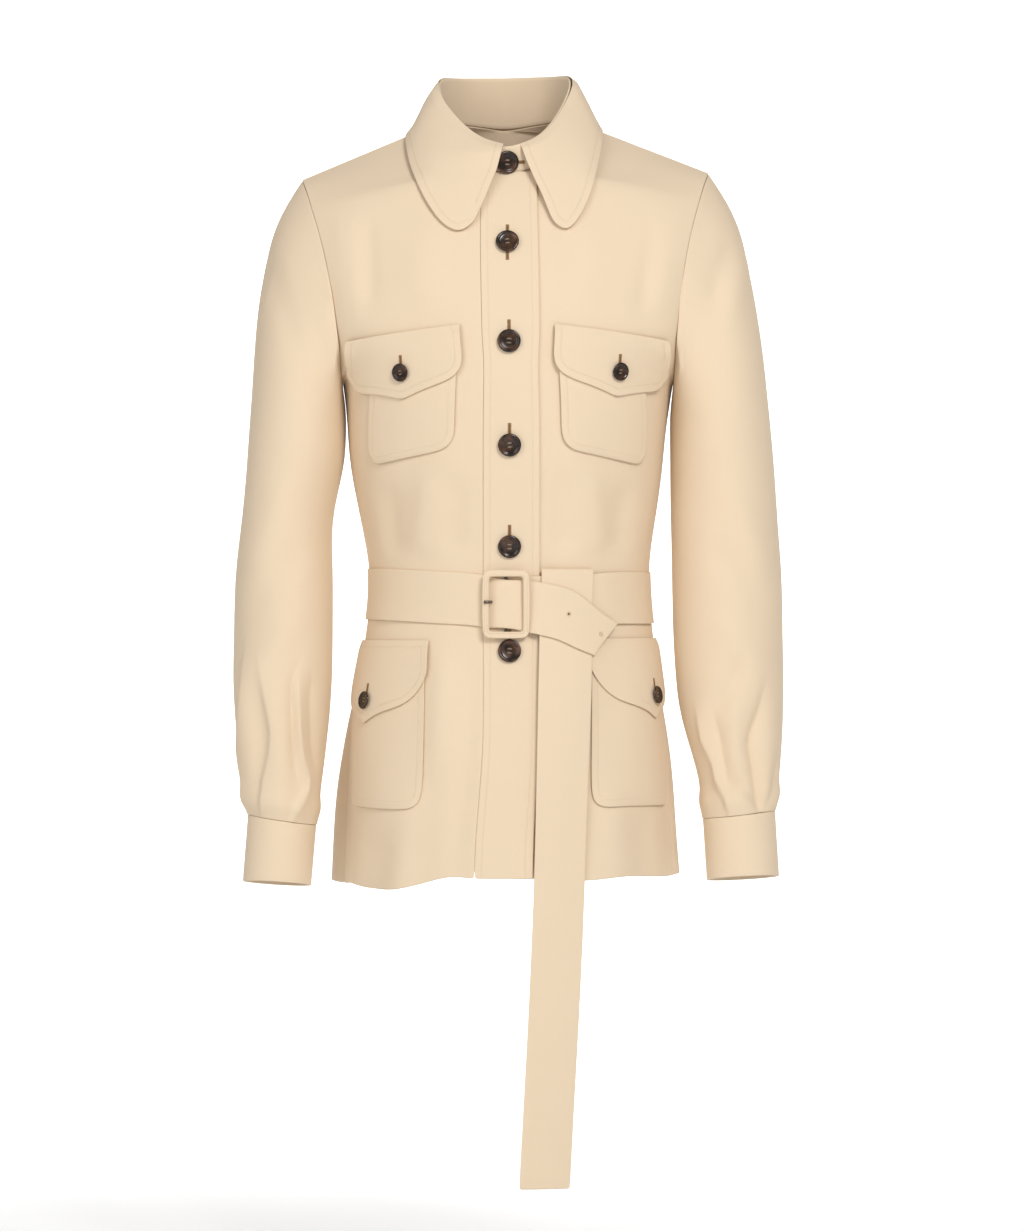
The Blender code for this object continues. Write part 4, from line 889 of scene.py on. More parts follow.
BODY_CUTS = {            # way round of the grain; width, length and area of the cut, in metres
    "back": (-1, (0.54, 0.76, 0.292)),
    "front_right": (1, (0.27, 0.74, 0.130)),
    "front_left": (1, (0.30, 0.74, 0.156)),
}
for panel, (turn, cut) in BODY_CUTS.items():
    cloth_piece(panel, FINE, trunk_push, round_trunk(turn))
cloth_piece("placket", FINE, trunk_push, round_trunk(1),
            (PLACKET_INSET, long_sides, away_from_trunk))
for side, word in ((-1, "right"), (1, "left")):
    cloth_piece("sleeve_" + word, FINE, lambda places, side=side: arm_push(places, side),
                round_arm(side))
    cloth_piece("cuff_" + word, FINE, still, round_arm(side))
print("large pieces:", ", ".join(PIECES))


# %% [markdown]
# ## Collar
# A shirt collar has a stand that goes round the neck and a leaf that turns down over it. The leaf's edge
# is stitched round. It rolls in where it turns, and its right front edge laps over the top button.

# %% Collar
NECK_HALF = (0.075, 0.085)
ROLL_STEPS = 24
ROLL_REACH = 6 * MM
ROLL_IN = 3.0 * MM
LAP_HEIGHTS = (-84, -74, -60, -40, -23, -10)        # heights on the front edge, and how far it goes across
LAP_ACROSS = (0, 1.9, 5.1, 10.0, 11.7, 11.7)        # and out to lap over the top button, in millimetres
LAP_OUT = (0, 0, 0, 1.0, 4.6, 2.0)
LAP_RUN = (-0.075, -0.022)
LAP_FRONT = (0.0, 0.04)
SEAM_DOWN = 4 * MM
SEAM_DOWN_RUN = (0.028, 0.040)


def round_neck(places):
    return np.zeros((len(places), 2)), NECK_HALF, -1


def leaf_push(points):
    """The leaf rolls in over the stand, and its right front edge laps over the button."""
    gap = np.array([ROLL_TREE.find(point)[2] for point in points])
    inward = -unit(points / (NECK_HALF[0] ** 2, NECK_HALF[1] ** 2, 1.0) * (1, 1, 0))
    moved = points + (ROLL_IN * (1 - ease(gap, 0, ROLL_REACH)))[:, None] * inward
    near = ease(points[:, 0], *LAP_RUN) * ease(-points[:, 1], *LAP_FRONT) * (points[:, 0] < 0)
    height = points[:, 2] / MM
    moved[:, 0] += near * np.interp(height, LAP_HEIGHTS, LAP_ACROSS) * MM
    moved[:, 1] -= near * np.interp(height, LAP_HEIGHTS, LAP_OUT) * MM
    return moved


def stand_push(points):
    """In front the stand's lower edge goes down behind the button band."""
    moved = points.copy()
    moved[:, 2] -= SEAM_DOWN * ease(-points[:, 2], *SEAM_DOWN_RUN) * ease(-points[:, 1], *LAP_FRONT)
    return moved


ROLL_TREE = near_tree([start + (end - start) * share
                       for start, end, _, _ in top_of(edge_sides("collar_leaf", away_from_neck))
                       for share in np.linspace(0, 1, ROLL_STEPS)])
cloth_piece("collar_stand", MEDIUM, stand_push, round_neck)
cloth_piece("collar_leaf", FINE, leaf_push, round_neck,
            (STITCH_INSET, all_but_top, away_from_neck))
print("collar pieces made")


# %% [markdown]
# ## Pockets and flaps
# Patch pockets lie on the fronts, and a pointed flap buttons down over each. They move with the folds
# beneath them, so they get the same push as the fronts. The lower flaps are stitched along the top as well.

# %% Pockets and flaps
POCKET_CUTS = {          # finer or coarser mesh; width, length and area; and which sides are stitched
    "chest_pocket": (MEDIUM, (0.097, 0.097, 0.0091), all_but_top),
    "lower_pocket": (MEDIUM, (0.117, 0.135, 0.0156), all_but_top),
    "chest_flap": (FINE, (0.135, 0.064, 0.0069), all_but_top),
    "lower_flap": (FINE, (0.128, 0.079, 0.0090), whole_edge),
}
for word in ("_right", "_left"):
    for kind, (levels, cut, choose) in POCKET_CUTS.items():
        under = ("front" if "pocket" in kind else kind.replace("flap", "pocket")) + word
        cloth_piece(kind + word, levels, trunk_push, round_trunk(1),
                    (STITCH_INSET, choose, away_from_trunk))
print("pockets and flaps:", 2 * len(POCKET_CUTS))


# %% [markdown]
# ## Belt
# The belt goes once round, comes through the buckle and folds under, and its long end goes up behind it,
# over its top edge and down the front. It is plain, without stitches along its edges.

# %% Belt
PINCH = {"across": -1.8 * MM, "half": 13 * MM, "height": -0.447, "share": 0.06}
TAIL_RUN = (0.055, 0.098)
TAIL_OFF = (6.0 * MM, 7.0 * MM)      # how far off the body the folded end lies
TAIL_HEIGHTS = (-0.497, -0.455)
TAIL_MOVES = (4.3 * MM, -8.9 * MM)


def belt_push(points):
    """The strap draws in where it goes through the buckle, and its folded end is narrower and droops."""
    near = np.exp(-((points[:, 0] - PINCH["across"]) / PINCH["half"]) ** 4) * (points[:, 1] < 0)
    moved = points.copy()
    moved[:, 2] = PINCH["height"] + (points[:, 2] - PINCH["height"]) * (1 - PINCH["share"] * near)
    body = surface_of(PIECES["front_left"])
    for index in np.flatnonzero((points[:, 0] > TAIL_RUN[0]) & (points[:, 1] < 0)):
        gap = body.find_nearest(points[index])[3]
        tail = ease(points[index, 0], *TAIL_RUN) * ease(gap, *TAIL_OFF)
        moved[index, 2] += tail * np.interp(points[index, 2], TAIL_HEIGHTS, TAIL_MOVES)
    return moved


cloth_piece("belt", FINE, belt_push, round_trunk(1))
cloth_piece("belt_drop", FINE, still, round_trunk(1))
print("belt pieces made")


# %% [markdown]
# ## Thread
# A machine stitch is a short bead of thread that sinks in at both ends. Thousands of them are no work for
# the hand, so a Geometry Nodes tree lays one bead at every step along a line. Each point of the line says
# how the bead lies: along the line for topstitching, across it for the close stitches of a buttonhole.

# %% Thread tree
BEAD = {"Segments": 6, "Rings": 4, "Radius": 0.5}


def geometry_tree(name, **inputs):
    """An empty Geometry Nodes tree with a geometry socket at both ends."""
    return new_tree(name, "GeometryNodeTree", {"Geometry": "Geometry", **inputs}, {"Geometry": "Geometry"})


def vector_attribute(tree, name):
    node = add(tree, "GeometryNodeInputNamedAttribute", {"Name": name}, data_type="FLOAT_VECTOR")
    return node.outputs["Attribute"]


def smooth_of(tree, geometry):
    return add(tree, "GeometryNodeSetShadeSmooth", {"Geometry": geometry})


def realize_and_paint(tree, instances, paint, result):
    """The end of every tree here: real geometry with its material."""
    real = add(tree, "GeometryNodeRealizeInstances", {"Geometry": instances})
    painted = add(tree, "GeometryNodeSetMaterial", {"Geometry": real, "Material": paint})
    fill(tree, result, {"Geometry": painted})


def make_thread_tree():
    tree, given, result = geometry_tree(
        "thread_row", Spacing=0.0, Length=0.0, Thickness=0.0, Thread="Material")
    path = add(tree, "GeometryNodeMeshToCurve", {"Mesh": given["Geometry"]})
    spots = add(tree, "GeometryNodeCurveToPoints", {"Curve": path, "Length": given["Spacing"]}, mode="LENGTH")
    turn = add(tree, "FunctionNodeAlignRotationToVector", {"Vector": vector_attribute(tree, "lay")}, axis="Z")
    bead = add(tree, "GeometryNodeMeshUVSphere", BEAD)
    size = add(tree, "ShaderNodeCombineXYZ",
               {"X": given["Thickness"], "Y": given["Thickness"], "Z": given["Length"]})
    beads = add(tree, "GeometryNodeInstanceOnPoints",
                {"Points": spots, "Instance": smooth_of(tree, bead), "Rotation": turn, "Scale": size})
    realize_and_paint(tree, beads, given["Thread"], result)
    return tree


def grow(name, mesh, tree, values):
    """An object made from a mesh of points or lines by a tree, as a plain mesh."""
    made = link(name, mesh)
    modifier = made.modifiers.new("Making", "NODES")
    modifier.node_group = tree
    for item in tree.interface.items_tree:
        if item.in_out == "INPUT" and item.name in values:
            modifier[item.identifier] = values[item.name]
    plain_mesh(made)
    return made


def keep_vectors(mesh, label, values):
    attribute = mesh.attributes.new(label, "FLOAT_VECTOR", "POINT")
    attribute.data.foreach_set("vector", np.array(values, float).ravel())


def line_mesh(name, lines):
    """Lines of (place, lay) points as one mesh of edges."""
    points = [point for line in lines for point in line]
    edges = []
    first = 0
    for line in lines:
        edges += [(first + step, first + step + 1) for step in range(len(line) - 1)]
        first += len(line)
    mesh = point_mesh(name, [tuple(place) for place, _ in points], edges)
    keep_vectors(mesh, "lay", [tuple(lay) for _, lay in points])
    return mesh


THREAD_ROW = make_thread_tree()
print("tree:", THREAD_ROW.name)


# %% Thread finishes
TWIST_SCALE = 600.0
TWIST_BUMP = (0.05 * MM, 0.5)
TWIST_ROUGH = (0.15, 0.6)
FIBRE_CLOUD = (900.0, 2.0)
THREAD_SHINE = 0.3
THREAD_AND_SHADE_TONES = {         # light and dark tone
    "wool_thread": ((0.78, 0.62, 0.44, 1.0), (0.66, 0.51, 0.34, 1.0)),
    "tan_thread": ((0.46, 0.28, 0.13, 1.0), (0.30, 0.16, 0.07, 1.0)),
    "button_thread": ((0.33, 0.25, 0.18, 1.0), (0.18, 0.12, 0.08, 1.0)),
    # not thread: near black, it paints the shade inside the openings of buttonholes and eyelets
    "dark_thread": ((0.10, 0.06, 0.035, 1.0), (0.04, 0.025, 0.015, 1.0)),
}


def make_thread(name):
    """Twisted thread: two close tones and a fine slanting ridge. Near black, the same finish paints the shade
    inside buttonholes and eyelets.
    """
    thread, tree, shader = new_material(name)
    place = add(tree, "ShaderNodeTexCoord").outputs["Object"]
    twist = add(tree, "ShaderNodeTexWave", {"Vector": place, "Scale": TWIST_SCALE},
                bands_direction="DIAGONAL").outputs["Fac"]
    finish(tree, shader, (twist, *TWIST_BUMP), {
        "Base Color": mix_colours(tree, noise(tree, *FIBRE_CLOUD), *THREAD_AND_SHADE_TONES[name]),
        "Roughness": calc(tree, "MULTIPLY_ADD", twist, *TWIST_ROUGH), "Specular IOR Level": THREAD_SHINE})
    return thread


WOOL_THREAD, TAN_THREAD, BUTTON_THREAD, OPENING_SHADE_PAINT = map(make_thread, THREAD_AND_SHADE_TONES)
print("threads:", ", ".join(THREAD_AND_SHADE_TONES))


# %% Topstitching
STITCH = {"Spacing": 3.0 * MM, "Length": 2.5 * MM, "Thickness": 0.5 * MM, "Thread": WOOL_THREAD}
STITCH_SINK = 0.08 * MM
rows = []
for line in STITCHES:
    places, normals = (np.array(half) for half in zip(*line))
    rows.append(list(zip(places - STITCH_SINK * normals, unit(np.gradient(places, axis=0)))))
topstitching = grow("topstitching", line_mesh("topstitching", rows), THREAD_ROW, STITCH)
hand_in(topstitching, "cloth")
print("stitches: %d triangles on %d lines" % (2 * len(topstitching.data.polygons), len(rows)))


# %% [markdown]
# ## Buttons
# The buttons are turned from dark horn: a round back, a raised rim and a dished face with four holes. A
# lathe would turn the profile once; here a profile is spun round in code, the holes are cut with a
# Boolean, and a second tree sets the finished button on each sewing place. Two bars of thread cross each.

# %% Places of the buttons
FRONT_BUTTONS = ["front_button_%d" % number for number in range(1, 7)]
FLAP_BUTTONS = [kind + "_button_" + word for kind in ("chest", "lower") for word in ("right", "left")]
BUTTON_RADIUS = 10.8


def button_place(node):
    """Foot, facing and size of a packed button, moved with the cloth that it is sewn to."""
    shell = quad_copy(node)
    points = np.array([vert.co for vert in shell.verts])
    shell.free()
    centre = points.mean(axis=0)
    facing = np.linalg.svd(points - centre)[2][2]
    if facing @ away_from_trunk(centre) < 0:
        facing = -facing
    along = (points - centre) @ facing
    radius = np.linalg.norm(points - centre - along[:, None] * facing, axis=1).max()
    foot = centre + along.min() * facing
    if node != FRONT_BUTTONS[0]:
        foot = trunk_push(foot[None])[0]
    return foot, facing, radius / MM / BUTTON_RADIUS


BUTTON_PLACES = {node: button_place(node) for node in FRONT_BUTTONS + FLAP_BUTTONS}
print("button sizes:", sorted({round(2 * BUTTON_RADIUS * place[2], 1) for place in BUTTON_PLACES.values()}))


# %% One button
BUTTON_SECTION = (       # radius and height of the turned profile, in millimetres
    (0.0, 0.3), (5.0, 0.1), (7.4, 0.15), (9.2, 0.7), (10.4, 1.5), (10.8, 2.1), (10.6, 2.7), (10.1, 3.15),
    (9.4, 3.35), (8.7, 3.25), (8.1, 2.9), (7.6, 2.5), (7.0, 2.3), (6.0, 2.2), (3.5, 2.0), (0.0, 1.95),
)
BUTTON_SIDES = 40
HOLE_RADIUS = 0.95 * MM
HOLE_OFF = 1.9
DRILL_DEPTH = 8 * MM
DRILL_SIDES = 14
SHARP_EDGE = math.radians(35)
STRANDS = (-0.42, 0.0, 0.42)              # three threads side by side in each bar
STRAND_SIZE = (0.34, 0.30, HOLE_OFF + 0.45)    # half thickness, half width and half length
STRAND_HEIGHT, STRAND_BOW = 1.75, 0.5
STRAND_BALL = {"u_segments": 8, "v_segments": 10, "radius": 1.0}
SHANK = {"segments": 12, "radius1": 1.7 * MM, "radius2": 1.5 * MM, "depth": 1.4 * MM}
SHANK_HEIGHT = -0.25 * MM


def lathe(name, section, sides):
    """A closed turned shape round Z from a profile whose ends lie on the axis."""
    steps = [(step, (step + 1) % sides) for step in range(sides)]
    turns = [2 * math.pi * step / sides for step in range(sides)]
    points = [(0.0, 0.0, section[0][1] * MM)]
    points += [(radius * math.cos(turn) * MM, radius * math.sin(turn) * MM, height * MM)
               for radius, height in section[1:-1] for turn in turns]
    points.append((0.0, 0.0, section[-1][1] * MM))
    faces = [(0, 1 + after, 1 + step) for step, after in steps]
    last = 1 + (len(section) - 3) * sides
    for base in range(1, last, sides):
        above = base + sides
        faces += [(base + step, base + after, above + after, above + step) for step, after in steps]
    faces += [(last + step, last + after, len(points) - 1) for step, after in steps]
    return link(name, point_mesh(name, points, faces=faces))


def make_button_blank():
    blank = lathe("button_blank", BUTTON_SECTION, BUTTON_SIDES)
    drills = bmesh.new()
    for sign_x in (-1, 1):
        for sign_y in (-1, 1):
            made = bmesh.ops.create_cone(drills, cap_ends=True, segments=DRILL_SIDES, radius1=HOLE_RADIUS,
                                         radius2=HOLE_RADIUS, depth=DRILL_DEPTH)
            aside = (sign_x * HOLE_OFF * MM, sign_y * HOLE_OFF * MM, 0)
            bmesh.ops.translate(drills, verts=made["verts"], vec=aside)
    cutter = shell_object("button_drills", drills)
    cut = blank.modifiers.new("Holes", "BOOLEAN")
    cut.operation = "DIFFERENCE"
    cut.object = cutter
    plain_mesh(blank)
    bpy.data.objects.remove(cutter)
    blank.data.shade_smooth()
    blank.data.set_sharp_from_angle(angle=SHARP_EDGE)
    return blank


def make_button_thread():
    """Two bars of thread over the face and the shank that holds the button off the cloth."""
    thread = bmesh.new()
    thick, wide, long = STRAND_SIZE
    for sign in (-1, 1):
        for strand in STRANDS:
            made = bmesh.ops.create_uvsphere(thread, **STRAND_BALL)
            for vert in made["verts"]:
                x, y, z = vert.co
                height = STRAND_HEIGHT + STRAND_BOW * (1 - z * z) + thick * x
                vert.co = (long * z * MM, (sign * HOLE_OFF + strand + wide * y) * MM, height * MM)
    made = bmesh.ops.create_cone(thread, cap_ends=True, **SHANK)
    bmesh.ops.translate(thread, verts=made["verts"], vec=(0, 0, SHANK_HEIGHT))
    bmesh.ops.recalc_face_normals(thread, faces=thread.faces)
    blank = shell_object("button_thread_blank", thread)
    blank.data.shade_smooth()
    return blank


BUTTON_BLANK = make_button_blank()
THREAD_BLANK = make_button_thread()
print("one button:", len(BUTTON_BLANK.data.polygons), "faces")


# %% Horn
def make_hard(name, tones, cloud, contrast, rough, grain, values):
    """A hard finish: two tones in clouds, a roughness that follows the clouds and a fine grain."""
    made, tree, shader = new_material(name)
    clouds = noise(tree, *cloud)
    share = calc(tree, "MULTIPLY", calc(tree, "SUBTRACT", clouds, contrast[0]), contrast[1])
    scale, detail, *depth = grain
    finish(tree, shader, (noise(tree, scale, detail), *depth), {
        "Base Color": mix_colours(tree, share, *tones),
        "Roughness": calc(tree, "MULTIPLY_ADD", clouds, *rough), **values})
    return made


HORN = make_hard("dark_horn", tones=((0.014, 0.007, 0.004, 1.0), (0.105, 0.042, 0.018, 1.0)),
                 cloud=(130.0, 4.0), contrast=(0.42, 3.0), rough=(0.2, 0.12),
                 grain=(1500.0, 2.0, 0.03 * MM, 0.3),
                 values={"Coat Weight": 0.25, "Coat Roughness": 0.12, "Specular IOR Level": 0.35})
print("finish:", HORN.name)


# %% Sewing the buttons on
TILTS = {"front_button_2": 6.0, "front_button_3": -4.0, "front_button_4": 3.0, "front_button_6": -7.0,
         "chest_button_right": 9.0, "chest_button_left": -5.0}     # degrees


def make_button_tree():
    tree, given, result = geometry_tree("sewn_on", Blank="Object", Finish="Material")
    info = add(tree, "GeometryNodeObjectInfo", {"Object": given["Blank"]})
    facing, sideways, size = (vector_attribute(tree, name) for name in ("facing", "sideways", "size"))
    turn = add(tree, "FunctionNodeAxesToRotation", {"Primary Axis": facing, "Secondary Axis": sideways},
               primary_axis="Z", secondary_axis="X")
    sewn = add(tree, "GeometryNodeInstanceOnPoints", {
        "Points": given["Geometry"], "Instance": info.outputs["Geometry"], "Rotation": turn, "Scale": size})
    realize_and_paint(tree, sewn, given["Finish"], result)
    return tree


def place_mesh(name, nodes):
    """Sewing places as points that know their facing, their sideways direction and their size."""
    facings = np.array([BUTTON_PLACES[node][1] for node in nodes])
    tilts = np.radians([TILTS.get(node, 0.0) for node in nodes])
    level = unit(np.cross((0.0, 0.0, 1.0), facings))
    upright = np.cross(facings, level)
    mesh = point_mesh(name, [tuple(BUTTON_PLACES[node][0]) for node in nodes])
    keep_vectors(mesh, "facing", facings)
    keep_vectors(mesh, "sideways", np.cos(tilts)[:, None] * level + np.sin(tilts)[:, None] * upright)
    keep_vectors(mesh, "size", [[BUTTON_PLACES[node][2]] * 3 for node in nodes])
    return mesh


def sew_on(name, nodes, blank, material):
    return grow(name, place_mesh(name, nodes), SEWN_ON, {"Blank": blank, "Finish": material})


SEWN_ON = make_button_tree()
for name, nodes in (("front_buttons", FRONT_BUTTONS), ("flap_buttons", FLAP_BUTTONS)):
    hand_in(sew_on(name, nodes, BUTTON_BLANK, HORN), "horn", *nodes)
hand_in(sew_on("button_thread", FRONT_BUTTONS + FLAP_BUTTONS, THREAD_BLANK, BUTTON_THREAD), "cloth")
bpy.data.objects.remove(BUTTON_BLANK)
bpy.data.objects.remove(THREAD_BLANK)
print("buttons sewn on:", len(BUTTON_PLACES))


# %% [markdown]
# ## Buttonholes and eyelets
# Each buttonhole is a slit bound with close stitches in a tan thread, and a few of its stitches show past
# the button. The belt's eyelets are bound in the same way, round. Both use the thread tree with the beads
# laid across the line, and a dark sheet in the middle paints the shade of the opening.

# %% Placing on the cloth
CAST = 8 * MM
SLIT_STEPS = 24
SLIT_HALF = 0.95 * MM
SLIT_OPEN = 0.32 * MM
SLIT_LIFT = 0.10 * MM
BAR_STEPS = (-0.5, 0.0, 0.5)
FRONT_REACH = (-9.0, 19.5)
FLAP_REACH = (-7.0, 15.5)
REACHES = {"front_button_1": (-4.0, 16.5), "front_button_2": (-17.0, 17.5)}
LEVEL = np.array((1.0, 0.0, 0.0))
UPRIGHT = np.array((0.0, 0.0, 1.0))
BOUND_SIDES = []
BOUND_ENDS = []
OPENING_SHADE_POINTS = []
OPENING_SHADE_FACES = []


def onto(made_tree, place, facing):
    """The place dropped onto a piece along a facing direction, and the cloth's own normal there."""
    return cast(made_tree, place + CAST * facing, -facing, 2 * CAST)


def seen_at(made_tree, column, row):
    """The place on a piece that shows at a column and row of the picture."""
    across, up = (column - PHOTO_COLUMNS / 2) * PIXEL, (PHOTO_ROWS / 2 - row) * PIXEL
    return cast(made_tree, CAMERA_PLACE, Vector((across, -CAMERA_PLACE[1], up)).normalized())


# a dark sheet that paints the shade inside an opening
def add_opening_shade(points):
    base = len(OPENING_SHADE_POINTS)
    OPENING_SHADE_POINTS.extend(tuple(point) for point in points)
    OPENING_SHADE_FACES.append(tuple(range(base, base + len(points))))


def bind_slit(made_tree, foot, facing, along, reach_from, reach_to):
    """A bound slit through a point, along a direction, between two reaches in millimetres, with a dark sheet
    of painted shade in its opening.
    """
    along = unit(along - (along @ facing) * facing)
    across = np.cross(facing, along)
    steps = np.linspace(reach_from, reach_to, SLIT_STEPS) * MM
    middle = [onto(made_tree, foot + step * along, facing) for step in steps]
    for sign in (-1, 1):
        line = []
        for spot, normal in middle:
            side = unit(across - (across @ normal) * normal)
            line.append((spot + sign * SLIT_HALF * side + SLIT_LIFT * normal, side))
        BOUND_SIDES.append(line)
    for (spot, normal), inwards in ((middle[0], along), (middle[-1], -along)):
        lifted = spot + SLIT_LIFT * normal
        BOUND_ENDS.append([(lifted + step * MM * inwards, across) for step in BAR_STEPS])
    # a dark sheet along the middle is painted shade for the slit's opening
    half = SLIT_OPEN * across
    for (spot, normal), (after, _) in zip(middle[:-1], middle[1:]):
        lift = SLIT_LIFT * normal
        add_opening_shade((spot - half + lift, spot + half + lift, after + half + lift, after - half + lift))


trees = {node: surface_of(made) for node, made in PIECES.items()
         if node in ("placket", "collar_stand", "belt") or "flap" in node}
for node, (foot, facing, _) in BUTTON_PLACES.items():
    if node == FRONT_BUTTONS[0]:
        under, along = "collar_stand", LEVEL
    else:
        under, along = "placket" if node in FRONT_BUTTONS else node.replace("button", "flap"), UPRIGHT
    reach = REACHES.get(node, FRONT_REACH if node in FRONT_BUTTONS else FLAP_REACH)
    bind_slit(trees[under], foot, facing, along, *reach)
print("bound slits:", len(BUTTON_PLACES))


# %% Eyelets
# each hole is a dark disc of painted shade
EYELETS = ((568.7, 614.0, 0.85), (601.0, 634.0, 0.30))     # column, row, and hole in millimetres
EYELET_RING = 1.7 * MM
EYELET_SIDES = 20
eyelet_rings = []
for column, row, hole in EYELETS:
    spot, normal = seen_at(trees["belt"], column, row)
    level = unit(np.cross(UPRIGHT, normal))
    up = np.cross(normal, level)
    turns = [2 * math.pi * step / EYELET_SIDES for step in range(EYELET_SIDES + 1)]
    spokes = [math.cos(turn) * level + math.sin(turn) * up for turn in turns]
    lifted = spot + SLIT_LIFT * normal
    eyelet_rings.append([(lifted + EYELET_RING * spoke, spoke) for spoke in spokes])
    add_opening_shade([lifted + hole * MM * spoke for spoke in spokes[:-1]])
print("eyelets:", len(EYELETS))


# %% Binding
BINDING = {"Spacing": 0.5 * MM, "Length": 1.7 * MM, "Thickness": 0.55 * MM, "Thread": TAN_THREAD}
BAR_TACK = {"Spacing": 0.5 * MM, "Length": 3.6 * MM, "Thickness": 0.6 * MM, "Thread": TAN_THREAD}
for name, lines, thread in (("buttonhole_binding", BOUND_SIDES, BINDING),
                            ("eyelet_binding", eyelet_rings, {**BINDING, "Thread": WOOL_THREAD}),
                            ("buttonhole_bars", BOUND_ENDS, BAR_TACK)):
    bound = grow(name, line_mesh(name, lines), THREAD_ROW, thread)
    hand_in(bound, "cloth")
    print(name + ": %d triangles" % (2 * len(bound.data.polygons)))
# dark sheets in the openings of buttonholes and eyelets: painted shade
slits = link("buttonhole_slits", point_mesh("buttonhole_slits", OPENING_SHADE_POINTS, faces=OPENING_SHADE_FACES))
dress(slits, OPENING_SHADE_PAINT)
hand_in(slits, "cloth")


# %% [markdown]
# ## Buckle
# The buckle is a stiff rectangular frame covered with the jacket's own cloth. A cord under the cover makes
# a ridge along the inner edge, and the cover is pricked on with small stitches down both long bars. Only
# the prong's tip and the bar behind the strap are bare metal.

# %% Covered frame
BUCKLE_LOW, BUCKLE_HIGH = [np.array(corner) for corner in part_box("buckle_frame")]
BUCKLE_MIDDLE = (BUCKLE_LOW + BUCKLE_HIGH) / 2
BUCKLE_HALF = (BUCKLE_HIGH - BUCKLE_LOW) / 2
BUCKLE_BAR = 6.4 * MM
buckle = rounded("buckle_cover", quad_copy("buckle_frame"), MEDIUM)
wrap_flat(buckle.data)
dress(buckle, WOOL_PLAIN)
hand_in(buckle, "cloth", "buckle_frame")
print("buckle: %.0f by %.0f mm" % tuple(2 * BUCKLE_HALF[[0, 2]] / MM))


# %% Cord under the cover and pricked stitches
CORD_RADIUS = 0.85 * MM
CORD_SIDES = 10
CORD_INSET = BUCKLE_BAR - 1.3 * MM
CORD_CORNER = 3.2 * MM
CORD_SINK = 0.25 * MM
CORNER_STEPS = 6
PRICKS = {"Spacing": 2.6 * MM, "Length": 0.75 * MM, "Thickness": 0.6 * MM, "Thread": TAN_THREAD}
PRICK_INSET = 2.5 * MM
PRICK_ENDS = 7 * MM
PRICK_SINK = 0.05 * MM


def make_cord_tree():
    tree, given, result = geometry_tree("cord_along", Radius=0.0, Cover="Material")
    path = add(tree, "GeometryNodeMeshToCurve", {"Mesh": given["Geometry"]})
    section = add(tree, "GeometryNodeCurvePrimitiveCircle",
                  {"Resolution": CORD_SIDES, "Radius": given["Radius"]})
    tube = add(tree, "GeometryNodeCurveToMesh", {"Curve": path, "Profile Curve": section})
    realize_and_paint(tree, smooth_of(tree, tube), given["Cover"], result)
    return tree


def rounded_frame(inset, radius, depth):
    """Points of a rectangle with round corners, inset from the buckle's outline, at a depth."""
    half_x, half_z = BUCKLE_HALF[0] - inset - radius, BUCKLE_HALF[2] - inset - radius
    points = []
    for turn, (sign_x, sign_z) in enumerate(((1, 1), (-1, 1), (-1, -1), (1, -1))):
        for step in range(CORNER_STEPS + 1):
            angle = math.pi / 2 * (turn + step / CORNER_STEPS)
            points.append((BUCKLE_MIDDLE[0] + sign_x * half_x + radius * math.cos(angle), depth,
                           BUCKLE_MIDDLE[2] + sign_z * half_z + radius * math.sin(angle)))
    return points


cord_points = rounded_frame(CORD_INSET, CORD_CORNER, BUCKLE_LOW[1] + CORD_SINK)
cord_edges = [(step, (step + 1) % len(cord_points)) for step in range(len(cord_points))]
cord = grow("buckle_cord", point_mesh("buckle_cord", cord_points, cord_edges), make_cord_tree(),
            {"Radius": CORD_RADIUS, "Cover": WOOL_PLAIN})
wrap_flat(cord.data)
hand_in(cord, "cloth")
prick_lines = []
for sign in (-1, 1):
    column = BUCKLE_MIDDLE[0] + sign * (BUCKLE_HALF[0] - PRICK_INSET)
    heights = BUCKLE_MIDDLE[2] + (BUCKLE_HALF[2] - PRICK_ENDS) * np.array((-1.0, 0.0, 1.0))
    prick_lines.append([((column, BUCKLE_LOW[1] + PRICK_SINK, height), UPRIGHT) for height in heights])
pricks = grow("buckle_pricks", line_mesh("buckle_pricks", prick_lines), THREAD_ROW, PRICKS)
hand_in(pricks, "cloth")
print("cord and pricks: %d triangles" % (2 * (len(cord.data.polygons) + len(pricks.data.polygons))))


# %% Prong and bar
PRONG_CREASE = 0.4
PRONG_WIDEN = 1.5
PRONG_ROOT = -15.0 * MM      # from here on it goes down into the strap
PRONG_SINK = 1.3
PRONG_MIDDLE = -21.0 * MM
PRONG_SHORTEN = 0.65
METAL = make_hard("dark_metal", tones=((0.075, 0.062, 0.050, 1.0), (0.20, 0.165, 0.125, 1.0)),
                  cloud=(260.0, 3.0), contrast=(0.0, 1.0), rough=(0.25, 0.22),
                  grain=(1200.0, 2.0, 0.02 * MM, 0.3), values={"Metallic": 1.0})
prong = rounded("prong_tip", quad_copy("prong"), MEDIUM, PRONG_CREASE)
places = coordinates(prong.data)
height = places[:, 2].mean()
places[:, 2] = height + PRONG_WIDEN * (places[:, 2] - height)
places[:, 1] += PRONG_SINK * np.maximum(places[:, 0] - PRONG_ROOT, 0)
places[:, 0] = PRONG_MIDDLE + PRONG_SHORTEN * (places[:, 0] - PRONG_MIDDLE)
set_coordinates(prong.data, places)
dress(prong, METAL)
hand_in(prong, "metal", "prong")
for slot in frame["nodes"]["buckle_bar"].material_slots:
    slot.material = METAL
print("metal: prong and bar")


# %% [markdown]
# ## Light and floor
# Plain studio light: a large soft source in front, above and to the right, a weaker one from the other
# side, and a pale floor that curves up into the wall behind, so no line shows behind the jacket.

